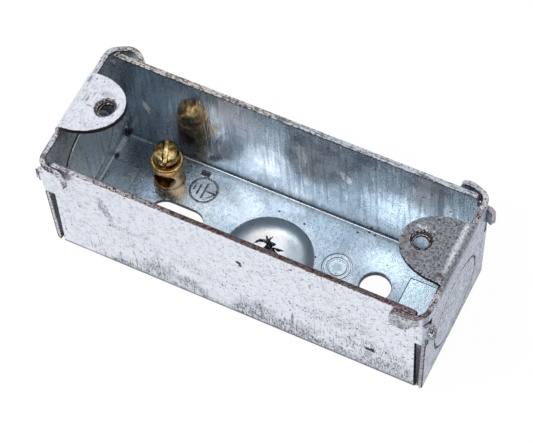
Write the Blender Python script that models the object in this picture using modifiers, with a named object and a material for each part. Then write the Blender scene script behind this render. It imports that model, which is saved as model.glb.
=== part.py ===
"""Architrave back box of folded sheet steel, with a brass earth terminal.

The box is drawn the way it is made: a flat blank is pierced and stamped, and then its
ears, lugs, end walls and long walls are folded up. Metres, +Z up, +X along the box. The
origin is under the middle of the box, at the lowest point that it stands on.
"""
import math
from dataclasses import dataclass

import bmesh
import bpy
import numpy as np

MM = 0.001

# The box over its outer faces
BASE_LENGTH = 73.2 * MM
BASE_WIDTH = 26.5 * MM
BOX_DEPTH = 27.0 * MM
END_LEAN = math.radians(1.45)
SIDE_LEAN = math.radians(0.55)

# The sheet and its folds, each radius on the inside of the fold
SHEET = 1.0 * MM
WALL_RADIUS = 0.4 * MM
LUG_RADIUS = 1.0 * MM
CURL_RADIUS = 2.0 * MM
NIB_RADIUS = 0.5 * MM
FOLD_STEPS = 6

# Clearances
EDGE_GAP = 0.3 * MM
EAR_GAP = 0.2 * MM
SEAT_GAP = 0.3 * MM
THREAD_GAP = 0.3 * MM

# Corners of the box, where a slit parts the walls above a small pressed patch
CORNER_ANGLE = math.radians(45)
CORNER_NECK = 0.15 * MM
SLIT_GAP = 0.6 * MM
FOOT_RELIEF = 2.2 * MM
SHOULDER_HEIGHT = 3.0 * MM
NECK_FOOT = 16.9 * MM
WALL_CORNER = 0.8 * MM
NIB_HOOK = math.radians(30)

# Ears, which wrap the tops of the long walls below their rims
EAR_NECK = 2.4 * MM
EAR_SLOPE = 1.2 * MM
EAR_TURN = math.radians(72)
EAR_CORNER = 1.3 * MM


@dataclass
class Corner:
    """One corner of the box. The four came out of the press a little different."""
    wall_gap: float      # from the end wall's inner face to the end of the long wall
    nib_reach: float     # how far the nib passes the end wall
    nib_foot: float
    nib_top: float
    ear_length: float
    ear_height: float
    ear_radius: float
    ear_angle: float     # how far the ear is folded round the corner
    ear_straight: float  # from that fold to the start of the curl
    ear_curl: float      # the curl towards the long wall; negative is away from it


CORNERS = {
    (1, -1): Corner(0.6 * MM, 1.3 * MM, 20.2 * MM, 24.3 * MM, 7.6 * MM, 4.6 * MM, 2.2 * MM,
                    math.radians(88), 1.5 * MM, math.radians(2)),
    (-1, -1): Corner(0.7 * MM, 0.9 * MM, 20.4 * MM, 23.4 * MM, 7.2 * MM, 3.7 * MM, 2.0 * MM,
                     math.radians(86), 1.0 * MM, math.radians(-16)),
    (1, 1): Corner(0.25 * MM, 1.3 * MM, 20.2 * MM, 24.3 * MM, 6.6 * MM, 4.6 * MM, 1.5 * MM,
                   math.radians(70), 1.4 * MM, math.radians(24)),
    (-1, 1): Corner(0.25 * MM, 1.3 * MM, 20.2 * MM, 24.3 * MM, 7.5 * MM, 4.6 * MM, 1.5 * MM,
                    math.radians(62), 1.8 * MM, math.radians(53)),
}

# Screw lugs at the accessory's fixing centres; the left one stands up and is bent up
FIXING_CENTRES = 60.3 * MM
LUG_RISE = {1: 1.1 * MM, -1: 2.2 * MM}
LUG_TILT = {1: 0.0, -1: math.radians(11)}
LUG_WIDTH = 12.6 * MM
LUG_TIP = 3.7 * MM
LUG_BLEND = 2.2 * MM
LUG_BORE_RADIUS = 1.55 * MM
LUG_MOUTH_RADIUS = 2.05 * MM
LUG_MOUTH_DEPTH = 0.5 * MM
COLLAR_RADIUS = 2.6 * MM
COLLAR_HEIGHT = 0.7 * MM

# Dished knockout in the base, and the round knockouts in the end walls
KNOCKOUT_RADIUS = 8.6 * MM
DISH_CENTRE = (0.3 * MM, -0.9 * MM)
DISH_DEPTH = 2.0 * MM
DISH_POWER = 6
DISH_RIM = 0.2 * MM
END_KNOCKOUT_HEIGHT = 11.2 * MM
SHEAR_WIDTH = 0.3 * MM
SHEAR_DEPTH = 0.3 * MM

# Fixing holes in the base
HOLE_CENTRE = (20.65 * MM, 1.85 * MM)
HOLE_RADIUS = 2.9 * MM
SLOT_CENTRE = (-18.7 * MM, -0.4 * MM)
SLOT_LENGTH = 10.6 * MM

# Marks stamped in the floor
STAMP_DEPTH = 0.2 * MM
STAMP_LINE = 0.28 * MM
EARTH_MARK_CENTRE = (-16.7 * MM, 7.0 * MM)
EARTH_MARK_RADIUS = 2.6 * MM
EARTH_STEM = 2.2 * MM
EARTH_BARS = ((0.2 * MM, 3.4 * MM), (-0.9 * MM, 2.3 * MM), (-1.8 * MM, 1.0 * MM))
BLANK_MARK_CENTRE = (12.7 * MM, 2.7 * MM)
BLANK_MARK_RADII = (2.65 * MM, 1.9 * MM)
PAD_LENGTH = 8.0 * MM
PAD_CENTRES = {1: 29.7 * MM, -1: 33.5 * MM}
PIT_SIZE = (1.7 * MM, 1.2 * MM)
PIT_CENTRE = (-17.9 * MM, 10.45 * MM)

# Earth terminal
PILLAR_CENTRE = (-23.9 * MM, 7.1 * MM)
PILLAR_RADIUS = 3.1 * MM
PILLAR_HEIGHT = 6.2 * MM
PILLAR_CHAMFER = 0.2 * MM
MOUTH_RADIUS = 2.6 * MM
MOUTH_DEPTH = 0.5 * MM
WIRE_HOLE_RADIUS = 2.1 * MM
WIRE_HOLE_HEIGHT = 2.6 * MM
WIRE_HOLE_TURN = math.radians(10)
BORE_FLOOR = 1.0 * MM
SPIGOT_RADIUS = 1.4 * MM
RIVET_RADIUS = 2.0 * MM
RIVET_DEPTH = 0.5 * MM
RIVET_SINK = 0.1 * MM

# Clamp screw
THREAD_RADIUS = 1.65 * MM
HEAD_RADIUS = 2.5 * MM
HEAD_EDGE = 1.4 * MM
HEAD_CROWN = 1.2 * MM
HEAD_LIFT = 0.8 * MM
SHANK_LENGTH = 5.0 * MM
SCREW_CHAMFER = 0.3 * MM
SLOT_WIDTH = 0.95 * MM
SLOT_DEPTH = 1.1 * MM
CROSS_WIDTH = 0.8 * MM
CROSS_LENGTH = 3.5 * MM
SLOT_TURN = math.radians(-68)

# Facets of round shapes
ROUND_SEGMENTS = 48
SMALL_SEGMENTS = 32
DISH_RINGS = 9
SLACK = 1.0 * MM
WELD = 0.0001 * MM
FLAT_ANGLE = math.radians(0.3)

# Values worked out from those above
END_ANGLE = math.radians(90) - END_LEAN
SIDE_ANGLE = math.radians(90) + SIDE_LEAN
FOLD_OUTSIDE = WALL_RADIUS + SHEET
END_FOLD = BASE_LENGTH / 2 - FOLD_OUTSIDE
SIDE_FOLD = BASE_WIDTH / 2 - FOLD_OUTSIDE


def neutral(radius):
    """Radius of a fold halfway through the sheet, which keeps its length."""
    return radius + SHEET / 2


def blank_reach(height, angle):
    """Distance across the blank from a wall's fold to a height on that folded wall."""
    radius = neutral(WALL_RADIUS)
    straight = (height - FOLD_OUTSIDE + radius * math.cos(angle)) / math.sin(angle)
    return radius * angle + straight


def end_at(height):
    """The x on the flat blank of a height on the folded end wall."""
    return END_FOLD + blank_reach(height, END_ANGLE)


def side_at(height):
    """The y on the flat blank of a height on the folded long wall."""
    return SIDE_FOLD + blank_reach(height, SIDE_ANGLE)


def wall_outside(fold, angle, height):
    """Distance from the middle of the box to a folded wall's outer face at a height."""
    rise = height - FOLD_OUTSIDE + FOLD_OUTSIDE * math.cos(angle)
    return fold + FOLD_OUTSIDE * math.sin(angle) + rise / math.tan(angle)


RIM_HALF_LENGTH = wall_outside(END_FOLD, END_ANGLE, BOX_DEPTH)
RIM_HALF_WIDTH = wall_outside(SIDE_FOLD, SIDE_ANGLE, BOX_DEPTH)
CORNER_REACH = neutral(WALL_RADIUS) * CORNER_ANGLE
EAR_FROM = end_at(NECK_FOOT) + WELD
LUG_ANGLE = math.radians(90) + END_LEAN
LUG_FOLD_LENGTH = neutral(LUG_RADIUS) * LUG_ANGLE


def ear_fold(corner):
    """The y on the blank where an ear's fold starts, so that it clears the long wall."""
    return RIM_HALF_WIDTH + EAR_GAP - corner.ear_radius


def lug_fold(side):
    """The x on the blank where a lug's fold starts."""
    radius = neutral(LUG_RADIUS)
    height = BOX_DEPTH + LUG_RISE[side] - SHEET / 2 - radius * (1 + math.sin(END_LEAN))
    return end_at(height)


def lug_bore(side):
    """The x on the blank of a lug's bore, so that it folds to the fixing centre."""
    radius = neutral(LUG_RADIUS)
    height = BOX_DEPTH + LUG_RISE[side] - SHEET / 2 - radius
    wall_middle = wall_outside(END_FOLD, END_ANGLE, height) - SHEET / 2
    reach = (wall_middle - radius - FIXING_CENTRES / 2) / math.cos(LUG_TILT[side])
    return lug_fold(side) + LUG_FOLD_LENGTH + reach


PILLAR_SEAT = SHEET + SEAT_GAP
PILLAR_TOP = SHEET + PILLAR_HEIGHT
WIRE_HOLE_AXIS = SHEET + WIRE_HOLE_HEIGHT
BORE_RADIUS = THREAD_RADIUS + THREAD_GAP
HEAD_SEAT = PILLAR_TOP + HEAD_LIFT


def new_collection(name):
    """A fresh collection of this name, linked to the scene."""
    old = bpy.data.collections.get(name)
    if old:
        bpy.data.collections.remove(old)
    made = bpy.data.collections.new(name)
    bpy.context.scene.collection.children.link(made)
    return made


def new_object(name, data, collection):
    made = bpy.data.objects.new(name, data)
    collection.objects.link(made)
    return made


def hide_cutter(cutter):
    cutter.hide_render = True
    cutter.display_type = 'WIRE'
    return cutter


def solid_copy(source, name, collection):
    """The evaluated mesh of an object, welded, as a new object at the origin."""
    bpy.context.view_layer.update()
    evaluated = source.evaluated_get(bpy.context.evaluated_depsgraph_get())
    mesh = bpy.data.meshes.new_from_object(evaluated)
    mesh.transform(source.matrix_world)
    work = bmesh.new()
    work.from_mesh(mesh)
    bmesh.ops.remove_doubles(work, verts=work.verts, dist=WELD)
    bmesh.ops.recalc_face_normals(work, faces=work.faces)
    work.to_mesh(mesh)
    work.free()
    bpy.data.objects.remove(source, do_unlink=True)
    return new_object(name, mesh, collection)


def arc(centre, radius, start, end, steps):
    """Points on an arc from one angle to another, both included."""
    angles = np.linspace(start, end, steps + 1)
    return [(centre[0] + radius * math.cos(a), centre[1] + radius * math.sin(a)) for a in angles]


def round_path(corners, steps=4):
    """An open path through (x, y, radius) corners, with an arc at each that has a radius."""
    path = [corners[0][:2]]
    for before, here, after in zip(corners, corners[1:], corners[2:]):
        point = np.array(here[:2])
        to_before = np.array(before[:2]) - point
        to_after = np.array(after[:2]) - point
        to_before /= np.linalg.norm(to_before)
        to_after /= np.linalg.norm(to_after)
        half = math.acos(np.clip(to_before @ to_after, -1, 1)) / 2
        if here[2] == 0:
            path.append(tuple(point))
            continue
        first = point + to_before * here[2] / math.tan(half)
        last = point + to_after * here[2] / math.tan(half)
        middle = (to_before + to_after) / np.linalg.norm(to_before + to_after)
        centre = point + middle * here[2] / math.sin(half)
        for share in np.linspace(0, 1, steps + 1):
            ray = (first - centre) * (1 - share) + (last - centre) * share
            path.append(tuple(centre + ray / np.linalg.norm(ray) * here[2]))
    path.append(corners[-1][:2])
    return path


def quarter_outline(side, way):
    """The blank's edge from a long wall's rim to a lug's tip, at the corner (side, way).

    It is drawn for x > 0 and y > 0, whichever corner it is for.
    """
    corner = CORNERS[(side, way)]
    wall_end = BASE_LENGTH / 2 - SHEET - corner.wall_gap
    nib_end = RIM_HALF_LENGTH + corner.nib_reach
    shoulder_end = RIM_HALF_LENGTH - EDGE_GAP
    shoulder_foot = side_at(corner.nib_foot - SHOULDER_HEIGHT)
    slit_x = BASE_LENGTH / 2 - SHEET - SLIT_GAP
    foot_x = END_FOLD + CORNER_REACH
    rim_x = end_at(BOX_DEPTH)
    neck_x = end_at(BOX_DEPTH - EAR_NECK)
    ear_foot_x = end_at(BOX_DEPTH - corner.ear_height)
    ear_start = ear_fold(corner)
    ear_widen = ear_start + neutral(corner.ear_radius) * EAR_TURN
    ear_tip = ear_start + corner.ear_length
    lug_root = lug_fold(side) + LUG_FOLD_LENGTH
    path = round_path([
        (0, side_at(BOX_DEPTH), 0),
        (wall_end, side_at(BOX_DEPTH), WALL_CORNER),
        (wall_end, side_at(corner.nib_top), 0),
        (nib_end, side_at(corner.nib_top), NIB_RADIUS),
        (nib_end, side_at(corner.nib_foot), NIB_RADIUS),
        (shoulder_end, side_at(corner.nib_foot), 0),
        (shoulder_end, shoulder_foot, 0),
        (wall_end, shoulder_foot, 0),
        (wall_end, side_at(FOOT_RELIEF), 0),
        (slit_x, side_at(FOLD_OUTSIDE), 0),
        (slit_x, SIDE_FOLD + CORNER_REACH, 0),
        (foot_x, SIDE_FOLD + CORNER_NECK, 0),
        (foot_x, RIM_HALF_WIDTH, 0),
        (end_at(NECK_FOOT), RIM_HALF_WIDTH, 0),
        (end_at(NECK_FOOT), ear_start, 0),
        (neck_x, ear_start, 0),
        (neck_x, ear_widen, 0),
        (ear_foot_x, ear_widen + EAR_SLOPE, EAR_CORNER),
        (ear_foot_x, ear_tip, EAR_CORNER),
        (rim_x, ear_tip, EAR_CORNER),
        (rim_x, LUG_WIDTH / 2, 0),
        (lug_root, LUG_WIDTH / 2, 0),
    ])
    tip_reach = lug_bore(side) + LUG_TIP - lug_root
    for angle in np.linspace(math.radians(90), 0, 13)[1:]:
        path.append((lug_root + tip_reach * math.cos(angle), LUG_WIDTH / 2 * math.sin(angle)))
    return path[1:]


def whole_outline():
    """The blank's edge, from the rim of one long wall all the way round."""
    outline = []
    for side in (1, -1):
        half = quarter_outline(side, side)
        half += [(x, -y) for x, y in reversed(quarter_outline(side, -side)[:-1])]
        outline += [(side * x, side * y) for x, y in half]
    return outline


def prism(name, outline, low, high, collection):
    """A plate with this outline, between two heights."""
    count = len(outline)
    verts = [(x, y, low) for x, y in outline] + [(x, y, high) for x, y in outline]
    faces = [tuple(range(count)), tuple(range(count, 2 * count))]
    faces += [(i, (i + 1) % count, count + (i + 1) % count, count + i) for i in range(count)]
    mesh = bpy.data.meshes.new(name)
    mesh.from_pydata(verts, [], faces)
    return solid_copy(new_object(name + '_outline', mesh, collection), name, collection)


def turned(name, profile, segments, collection, closed=False):
    """A solid of revolution about Z from (radius, height) points, top to bottom outside."""
    count = len(profile)
    edges = [(i, i + 1) for i in range(count - 1)]
    if closed:
        edges.append((count - 1, 0))
    mesh = bpy.data.meshes.new(name)
    mesh.from_pydata([(r, 0, z) for r, z in profile], edges, [])
    made = new_object(name + '_profile', mesh, collection)
    screw = made.modifiers.new('turn', 'SCREW')
    screw.steps = segments
    screw.render_steps = segments
    screw.use_merge_vertices = True
    screw.merge_threshold = WELD
    return solid_copy(made, name, collection)


def block(name, size, centre, turn, collection):
    """A box cutter of a full size, centred on a point and turned about Z."""
    bpy.ops.mesh.primitive_cube_add(size=1)
    made = bpy.context.object
    made.name = name
    made.data.transform(np_scale(size))
    made.location = centre
    made.rotation_euler.z = turn
    for owner in list(made.users_collection):
        owner.objects.unlink(made)
    collection.objects.link(made)
    return hide_cutter(made)


def np_scale(size):
    """A 4 by 4 scale matrix for a mesh."""
    matrix = np.diag([size[0], size[1], size[2], 1.0])
    return [list(row) for row in matrix]


def add_boolean(target, tool, operation):
    step = target.modifiers.new(tool.name, 'BOOLEAN')
    step.operation = operation
    step.solver = 'EXACT'
    step.object = tool


def place(made, centre, turn=0.0):
    """Move a cutter to a centre in plan and turn it about Z."""
    made.location = (centre[0], centre[1], 0)
    made.rotation_euler.z = turn
    return hide_cutter(made)


def ring_cutter(name, radius, width, low, high, centre, collection):
    """A round groove cutter about an upright axis."""
    inner = radius - width / 2
    outer = radius + width / 2
    profile = [(inner, high), (outer, high), (outer, low), (inner, low)]
    return place(turned(name, profile, ROUND_SEGMENTS, collection, closed=True), centre)


def dish_height(radius):
    """Upper surface of the dished knockout: flat in the middle, steep at its rim."""
    return SHEET - DISH_DEPTH * (1 - (radius / KNOCKOUT_RADIUS) ** DISH_POWER)


def dish_tools(collection):
    """The bulge under the dished knockout, and the hollow that is cut above it."""
    spread = KNOCKOUT_RADIUS + DISH_RIM
    radii = np.append(KNOCKOUT_RADIUS * np.sqrt(np.linspace(0, 1, DISH_RINGS + 1)), spread)
    top = [(r, dish_height(r)) for r in radii]
    hollow_profile = [(0, SHEET + SLACK), (spread, SHEET + SLACK)] + top[::-1]
    bulge_profile = [(0, SHEET / 2), (spread, SHEET / 2)] + [(r, z - SHEET) for r, z in top[::-1]]
    hollow = turned('dish_hollow', hollow_profile, ROUND_SEGMENTS, collection)
    bulge = turned('dish_bulge', bulge_profile, ROUND_SEGMENTS, collection)
    return place(bulge, DISH_CENTRE), place(hollow, DISH_CENTRE)


def lug_tools(side, collection):
    """The collar pressed out under a lug and the bore through it, on the flat blank."""
    centre = (side * lug_bore(side), 0)
    foot = SHEET + COLLAR_HEIGHT
    collar_profile = [(0, foot), (COLLAR_RADIUS - EDGE_GAP, foot),
                      (COLLAR_RADIUS, SHEET), (COLLAR_RADIUS, SHEET / 2), (0, SHEET / 2)]
    collar = turned(f'collar_{side}', collar_profile, SMALL_SEGMENTS, collection)
    bore_profile = [(0, foot + SLACK), (LUG_BORE_RADIUS, foot + SLACK),
                    (LUG_BORE_RADIUS, LUG_MOUTH_DEPTH), (LUG_MOUTH_RADIUS, 0),
                    (LUG_MOUTH_RADIUS, -SLACK), (0, -SLACK)]
    bore = turned(f'bore_{side}', bore_profile, SMALL_SEGMENTS, collection)
    return place(collar, centre), place(bore, centre, turn=math.pi / SMALL_SEGMENTS)


def rivet_hole(collection):
    """The hole for the terminal's spigot, countersunk underneath for its peened end."""
    narrow = SPIGOT_RADIUS + EDGE_GAP
    wide = RIVET_RADIUS + EDGE_GAP
    profile = [(0, SHEET + SLACK), (narrow, SHEET + SLACK), (narrow, RIVET_DEPTH),
               (wide, 0), (wide, -SLACK), (0, -SLACK)]
    return place(turned('rivet_hole', profile, SMALL_SEGMENTS, collection), PILLAR_CENTRE)


def earth_mark_cutters(collection):
    """The earth symbol: a stem on the longest of three bars, inside a ring."""
    x, y = EARTH_MARK_CENTRE
    low = SHEET - STAMP_DEPTH
    high = SHEET + SLACK
    half_line = STAMP_LINE / 2
    (offset, length), *shorter = EARTH_BARS
    stem_bar = [(-half_line, -length / 2), (half_line, -length / 2), (half_line, -half_line),
                (EARTH_STEM, -half_line), (EARTH_STEM, half_line), (half_line, half_line),
                (half_line, length / 2), (-half_line, length / 2)]
    bar = prism('earth_stem', stem_bar, low, high, collection)
    cutters = [place(bar, (x + offset, y)),
               ring_cutter('earth_ring', EARTH_MARK_RADIUS, STAMP_LINE, low, high,
                           EARTH_MARK_CENTRE, collection)]
    for number, (offset, length) in enumerate(shorter):
        cutters.append(block(f'earth_bar_{number}', (STAMP_LINE, length, high - low),
                             (x + offset, y, (low + high) / 2), 0, collection))
    return cutters


def floor_cutters(collection):
    """Shallow stamped marks, two pads and a pit in the floor of the box."""
    low = SHEET - STAMP_DEPTH
    high = SHEET + SLACK
    middle = (low + high) / 2
    cutters = earth_mark_cutters(collection)
    for number, radius in enumerate(BLANK_MARK_RADII):
        cutters.append(ring_cutter(f'blank_ring_{number}', radius, STAMP_LINE, low, high,
                                   BLANK_MARK_CENTRE, collection))
    for side, centre in PAD_CENTRES.items():
        inner = centre - PAD_LENGTH / 2
        length = min(PAD_LENGTH, END_FOLD - inner - EDGE_GAP)
        cutters.append(block(f'pad_{side}', (length, LUG_WIDTH, high - low),
                             (side * (inner + length / 2), 0, middle), 0, collection))
    cutters.append(block('pit', (PIT_SIZE[0], PIT_SIZE[1], high - low),
                         (PIT_CENTRE[0], PIT_CENTRE[1], middle - STAMP_DEPTH), 0, collection))
    return cutters


def stamped_blank(collection):
    """The flat sheet with its holes, dished knockout, sheared rings, collars and marks."""
    blank = prism('blank', whole_outline(), 0, SHEET, collection)
    bulge, hollow = dish_tools(collection)
    add_boolean(blank, bulge, 'UNION')
    add_boolean(blank, hollow, 'DIFFERENCE')
    for name, centre, length in (('hole', HOLE_CENTRE, 2 * HOLE_RADIUS),
                                 ('slot', SLOT_CENTRE, SLOT_LENGTH)):
        reach = length / 2 - HOLE_RADIUS
        half = arc((reach, 0), HOLE_RADIUS, -math.pi / 2, math.pi / 2, SMALL_SEGMENTS // 2)
        outline = half + [(-x, -y) for x, y in half]
        cutter = prism(name, outline, -SLACK, SHEET + SLACK, collection)
        add_boolean(blank, place(cutter, centre), 'DIFFERENCE')
    for side in (1, -1):
        collar, bore = lug_tools(side, collection)
        add_boolean(blank, collar, 'UNION')
        add_boolean(blank, bore, 'DIFFERENCE')
        centre = (side * end_at(END_KNOCKOUT_HEIGHT), 0)
        outside = ring_cutter(f'shear_out_{side}', KNOCKOUT_RADIUS, SHEAR_WIDTH,
                              -SLACK, SHEAR_DEPTH, centre, collection)
        inside = ring_cutter(f'shear_in_{side}', KNOCKOUT_RADIUS, SHEAR_WIDTH,
                             SHEET - SHEAR_DEPTH, SHEET + SLACK, centre, collection)
        add_boolean(blank, outside, 'DIFFERENCE')
        add_boolean(blank, inside, 'DIFFERENCE')
    add_boolean(blank, rivet_hole(collection), 'DIFFERENCE')
    for cutter in floor_cutters(collection):
        add_boolean(blank, cutter, 'DIFFERENCE')
    return solid_copy(blank, 'stamped_blank', collection)


def fold_lines(start, angle, radius):
    """Where a fold's facets meet the blank, from its start to its end."""
    return start + np.linspace(0, neutral(radius) * abs(angle), FOLD_STEPS + 1)


def cut_across(work, axis, positions, chosen=None):
    """Cut the faces that a test on their middle chooses, at positions along x or y."""
    normal = (1, 0, 0) if axis == 0 else (0, 1, 0)
    for position in positions:
        faces = [f for f in work.faces if chosen is None or chosen(f.calc_center_median())]
        parts = set(faces)
        for face in faces:
            parts.update(face.edges)
            parts.update(face.verts)
        bmesh.ops.bisect_plane(work, geom=list(parts), dist=WELD, plane_no=normal,
                               plane_co=tuple(position * n for n in normal))


def regions(x, y):
    """Which flap each point of the blank is on: long wall, end wall or corner patch."""
    past_end = np.abs(x) - END_FOLD
    past_side = np.abs(y) - SIDE_FOLD
    furthest = np.maximum(past_end, past_side)
    patch = (past_end > 0) & (past_side > 0) & (furthest <= CORNER_REACH + WELD)
    long_flap = (past_side > 0) & (past_side >= past_end) & ~patch
    end_flap = (past_end > 0) & (past_end > past_side) & ~patch
    return long_flap, end_flap, patch


def join_flat_faces(work):
    """Join faces that lie in one plane, which keeps the mesh small."""
    bmesh.ops.dissolve_limit(work, angle_limit=FLAT_ANGLE, verts=work.verts, edges=work.edges)


def divide_folds(work):
    """Give the blank an edge along each facet of each fold."""
    join_flat_faces(work)
    side_lines = fold_lines(SIDE_FOLD, SIDE_ANGLE, WALL_RADIUS)
    end_lines = fold_lines(END_FOLD, END_ANGLE, WALL_RADIUS)
    for sign in (1, -1):
        cut_across(work, 1, [sign * SIDE_FOLD])
        cut_across(work, 0, [sign * END_FOLD])
        cut_across(work, 1, [sign * (SIDE_FOLD + CORNER_REACH)], lambda c: abs(c.x) > END_FOLD)
        cut_across(work, 0, [sign * (END_FOLD + CORNER_REACH)], lambda c: abs(c.y) > SIDE_FOLD)
    for sign in (1, -1):
        cut_across(work, 1, sign * side_lines[1:],
                   lambda c: not regions(c.x, c.y)[1] and c.y * sign > SIDE_FOLD)
        cut_across(work, 0, sign * end_lines[1:],
                   lambda c: not regions(c.x, c.y)[0] and c.x * sign > END_FOLD)
        cut_across(work, 0, sign * fold_lines(RIM_HALF_LENGTH, NIB_HOOK, NIB_RADIUS),
                   lambda c: regions(c.x, c.y)[0] and c.x * sign > 0)
        cut_across(work, 0, sign * fold_lines(lug_fold(sign), LUG_ANGLE, LUG_RADIUS),
                   lambda c: regions(c.x, c.y)[1] and c.x * sign > 0)
        blend = LUG_WIDTH / 2 + np.linspace(0, LUG_BLEND, 5)
        for way in (1, -1):
            cut_across(work, 1, way * blend,
                       lambda c: c.x * sign > lug_fold(sign) and c.y * way > 0)
            corner = CORNERS[(sign, way)]
            main = fold_lines(ear_fold(corner), corner.ear_angle, corner.ear_radius)
            curl = fold_lines(main[-1] + corner.ear_straight, corner.ear_curl, CURL_RADIUS)
            cut_across(work, 1, way * np.concatenate([main, curl]),
                       lambda c: c.x * sign > EAR_FROM and c.y * way > 0)


def fold(points, chosen, axis, sign, start, angle, radius, weight=None):
    """Fold points up about a line across the blank.

    A point u past the line goes round an arc at its own distance from the fold's centre
    until the fold's angle is used up, and straight on after that. A negative angle folds
    the sheet down. weight, from 0 to 1, folds only part of the way.
    """
    reach = sign * points[:, axis] - start
    moving = chosen & (reach > 0)
    up = 1.0 if angle >= 0 else -1.0
    turn = abs(angle)
    middle = neutral(radius)
    used = np.clip(reach / middle, 0, turn)
    rest = np.clip(reach - middle * turn, 0, None)
    centre = SHEET / 2 + up * middle
    arm = up * (centre - points[:, 2])
    along = start + arm * np.sin(used) + rest * np.cos(used)
    height = centre - up * (arm * np.cos(used) - rest * np.sin(used))
    share = np.ones(len(points)) if weight is None else weight
    new_along = sign * points[:, axis] * (1 - share) + along * share
    new_height = points[:, 2] * (1 - share) + height * share
    points[moving, axis] = (sign * new_along)[moving]
    points[moving, 2] = new_height[moving]


def press_corners(points, flat, patch):
    """Press the patches at the base's corners into parts of a sphere."""
    past_end = np.abs(flat[:, 0]) - END_FOLD
    past_side = np.abs(flat[:, 1]) - SIDE_FOLD
    reach = np.hypot(past_end, past_side)[patch]
    used = reach / neutral(WALL_RADIUS)
    arm = FOLD_OUTSIDE - flat[patch, 2]
    for axis, past, start in ((0, past_end, END_FOLD), (1, past_side, SIDE_FOLD)):
        along = start + arm * np.sin(used) * past[patch] / reach
        points[patch, axis] = np.sign(flat[patch, axis]) * along
    points[patch, 2] = FOLD_OUTSIDE - arm * np.cos(used)


def fold_blank(mesh):
    """Fold the flat mesh into the box, from the outermost flaps inwards."""
    flat = np.empty(len(mesh.vertices) * 3)
    mesh.vertices.foreach_get('co', flat)
    flat = flat.reshape(-1, 3)
    long_flap, end_flap, patch = regions(flat[:, 0], flat[:, 1])
    off_middle = np.abs(flat[:, 1])
    ease = np.clip((LUG_WIDTH / 2 + LUG_BLEND - off_middle) / LUG_BLEND, 0, 1)
    ease = ease * ease * (3 - 2 * ease)
    lug_band = end_flap & (off_middle < LUG_WIDTH / 2 + LUG_BLEND)
    points = flat.copy()
    press_corners(points, flat, patch)
    for sign in (1, -1):
        here = flat[:, 0] * sign > 0
        fold(points, long_flap & here, 0, sign, RIM_HALF_LENGTH, NIB_HOOK, NIB_RADIUS)
        for way in (1, -1):
            corner = CORNERS[(sign, way)]
            start = ear_fold(corner)
            ear = end_flap & (flat[:, 0] * sign > EAR_FROM) & (flat[:, 1] * way > start)
            curl_start = start + neutral(corner.ear_radius) * corner.ear_angle + corner.ear_straight
            fold(points, ear, 1, way, curl_start, corner.ear_curl, CURL_RADIUS)
            fold(points, ear, 1, way, start, corner.ear_angle, corner.ear_radius)
        fold(points, lug_band & here, 0, sign, lug_fold(sign), LUG_ANGLE - LUG_TILT[sign],
             LUG_RADIUS, weight=ease)
    for sign in (1, -1):
        ends = end_flap & (flat[:, 0] * sign > 0)
        sides = long_flap & (flat[:, 1] * sign > 0)
        fold(points, ends, 0, sign, END_FOLD, END_ANGLE, WALL_RADIUS)
        fold(points, sides, 1, sign, SIDE_FOLD, SIDE_ANGLE, WALL_RADIUS)
    mesh.vertices.foreach_set('co', points.ravel())


def galvanised_steel():
    """Bright zinc on steel, a little blue and worn."""
    material = bpy.data.materials.new('galvanised_steel')
    material.use_nodes = True
    shader = material.node_tree.nodes['Principled BSDF']
    shader.inputs['Base Color'].default_value = (0.60, 0.64, 0.69, 1)
    shader.inputs['Metallic'].default_value = 1.0
    shader.inputs['Roughness'].default_value = 0.35
    return material


def brass():
    """Turned brass with a warm gold colour."""
    material = bpy.data.materials.new('brass')
    material.use_nodes = True
    shader = material.node_tree.nodes['Principled BSDF']
    shader.inputs['Base Color'].default_value = (0.80, 0.55, 0.18, 1)
    shader.inputs['Metallic'].default_value = 1.0
    shader.inputs['Roughness'].default_value = 0.22
    return material


def finish_piece(piece, material, parent):
    piece.data.materials.clear()
    piece.data.materials.append(material)
    piece.data.shade_smooth()
    piece.data.set_sharp_from_angle(angle=math.radians(30))
    piece.parent = parent


def build_box(parts, cutters, parent):
    """The folded sheet, as one closed solid."""
    body = solid_copy(stamped_blank(cutters), 'box_body', parts)
    work = bmesh.new()
    work.from_mesh(body.data)
    divide_folds(work)
    work.to_mesh(body.data)
    fold_blank(body.data)
    work.clear()
    work.from_mesh(body.data)
    join_flat_faces(work)
    bmesh.ops.triangulate(work, faces=work.faces)
    bmesh.ops.recalc_face_normals(work, faces=work.faces)
    work.to_mesh(body.data)
    work.free()
    finish_piece(body, galvanised_steel(), parent)


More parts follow.
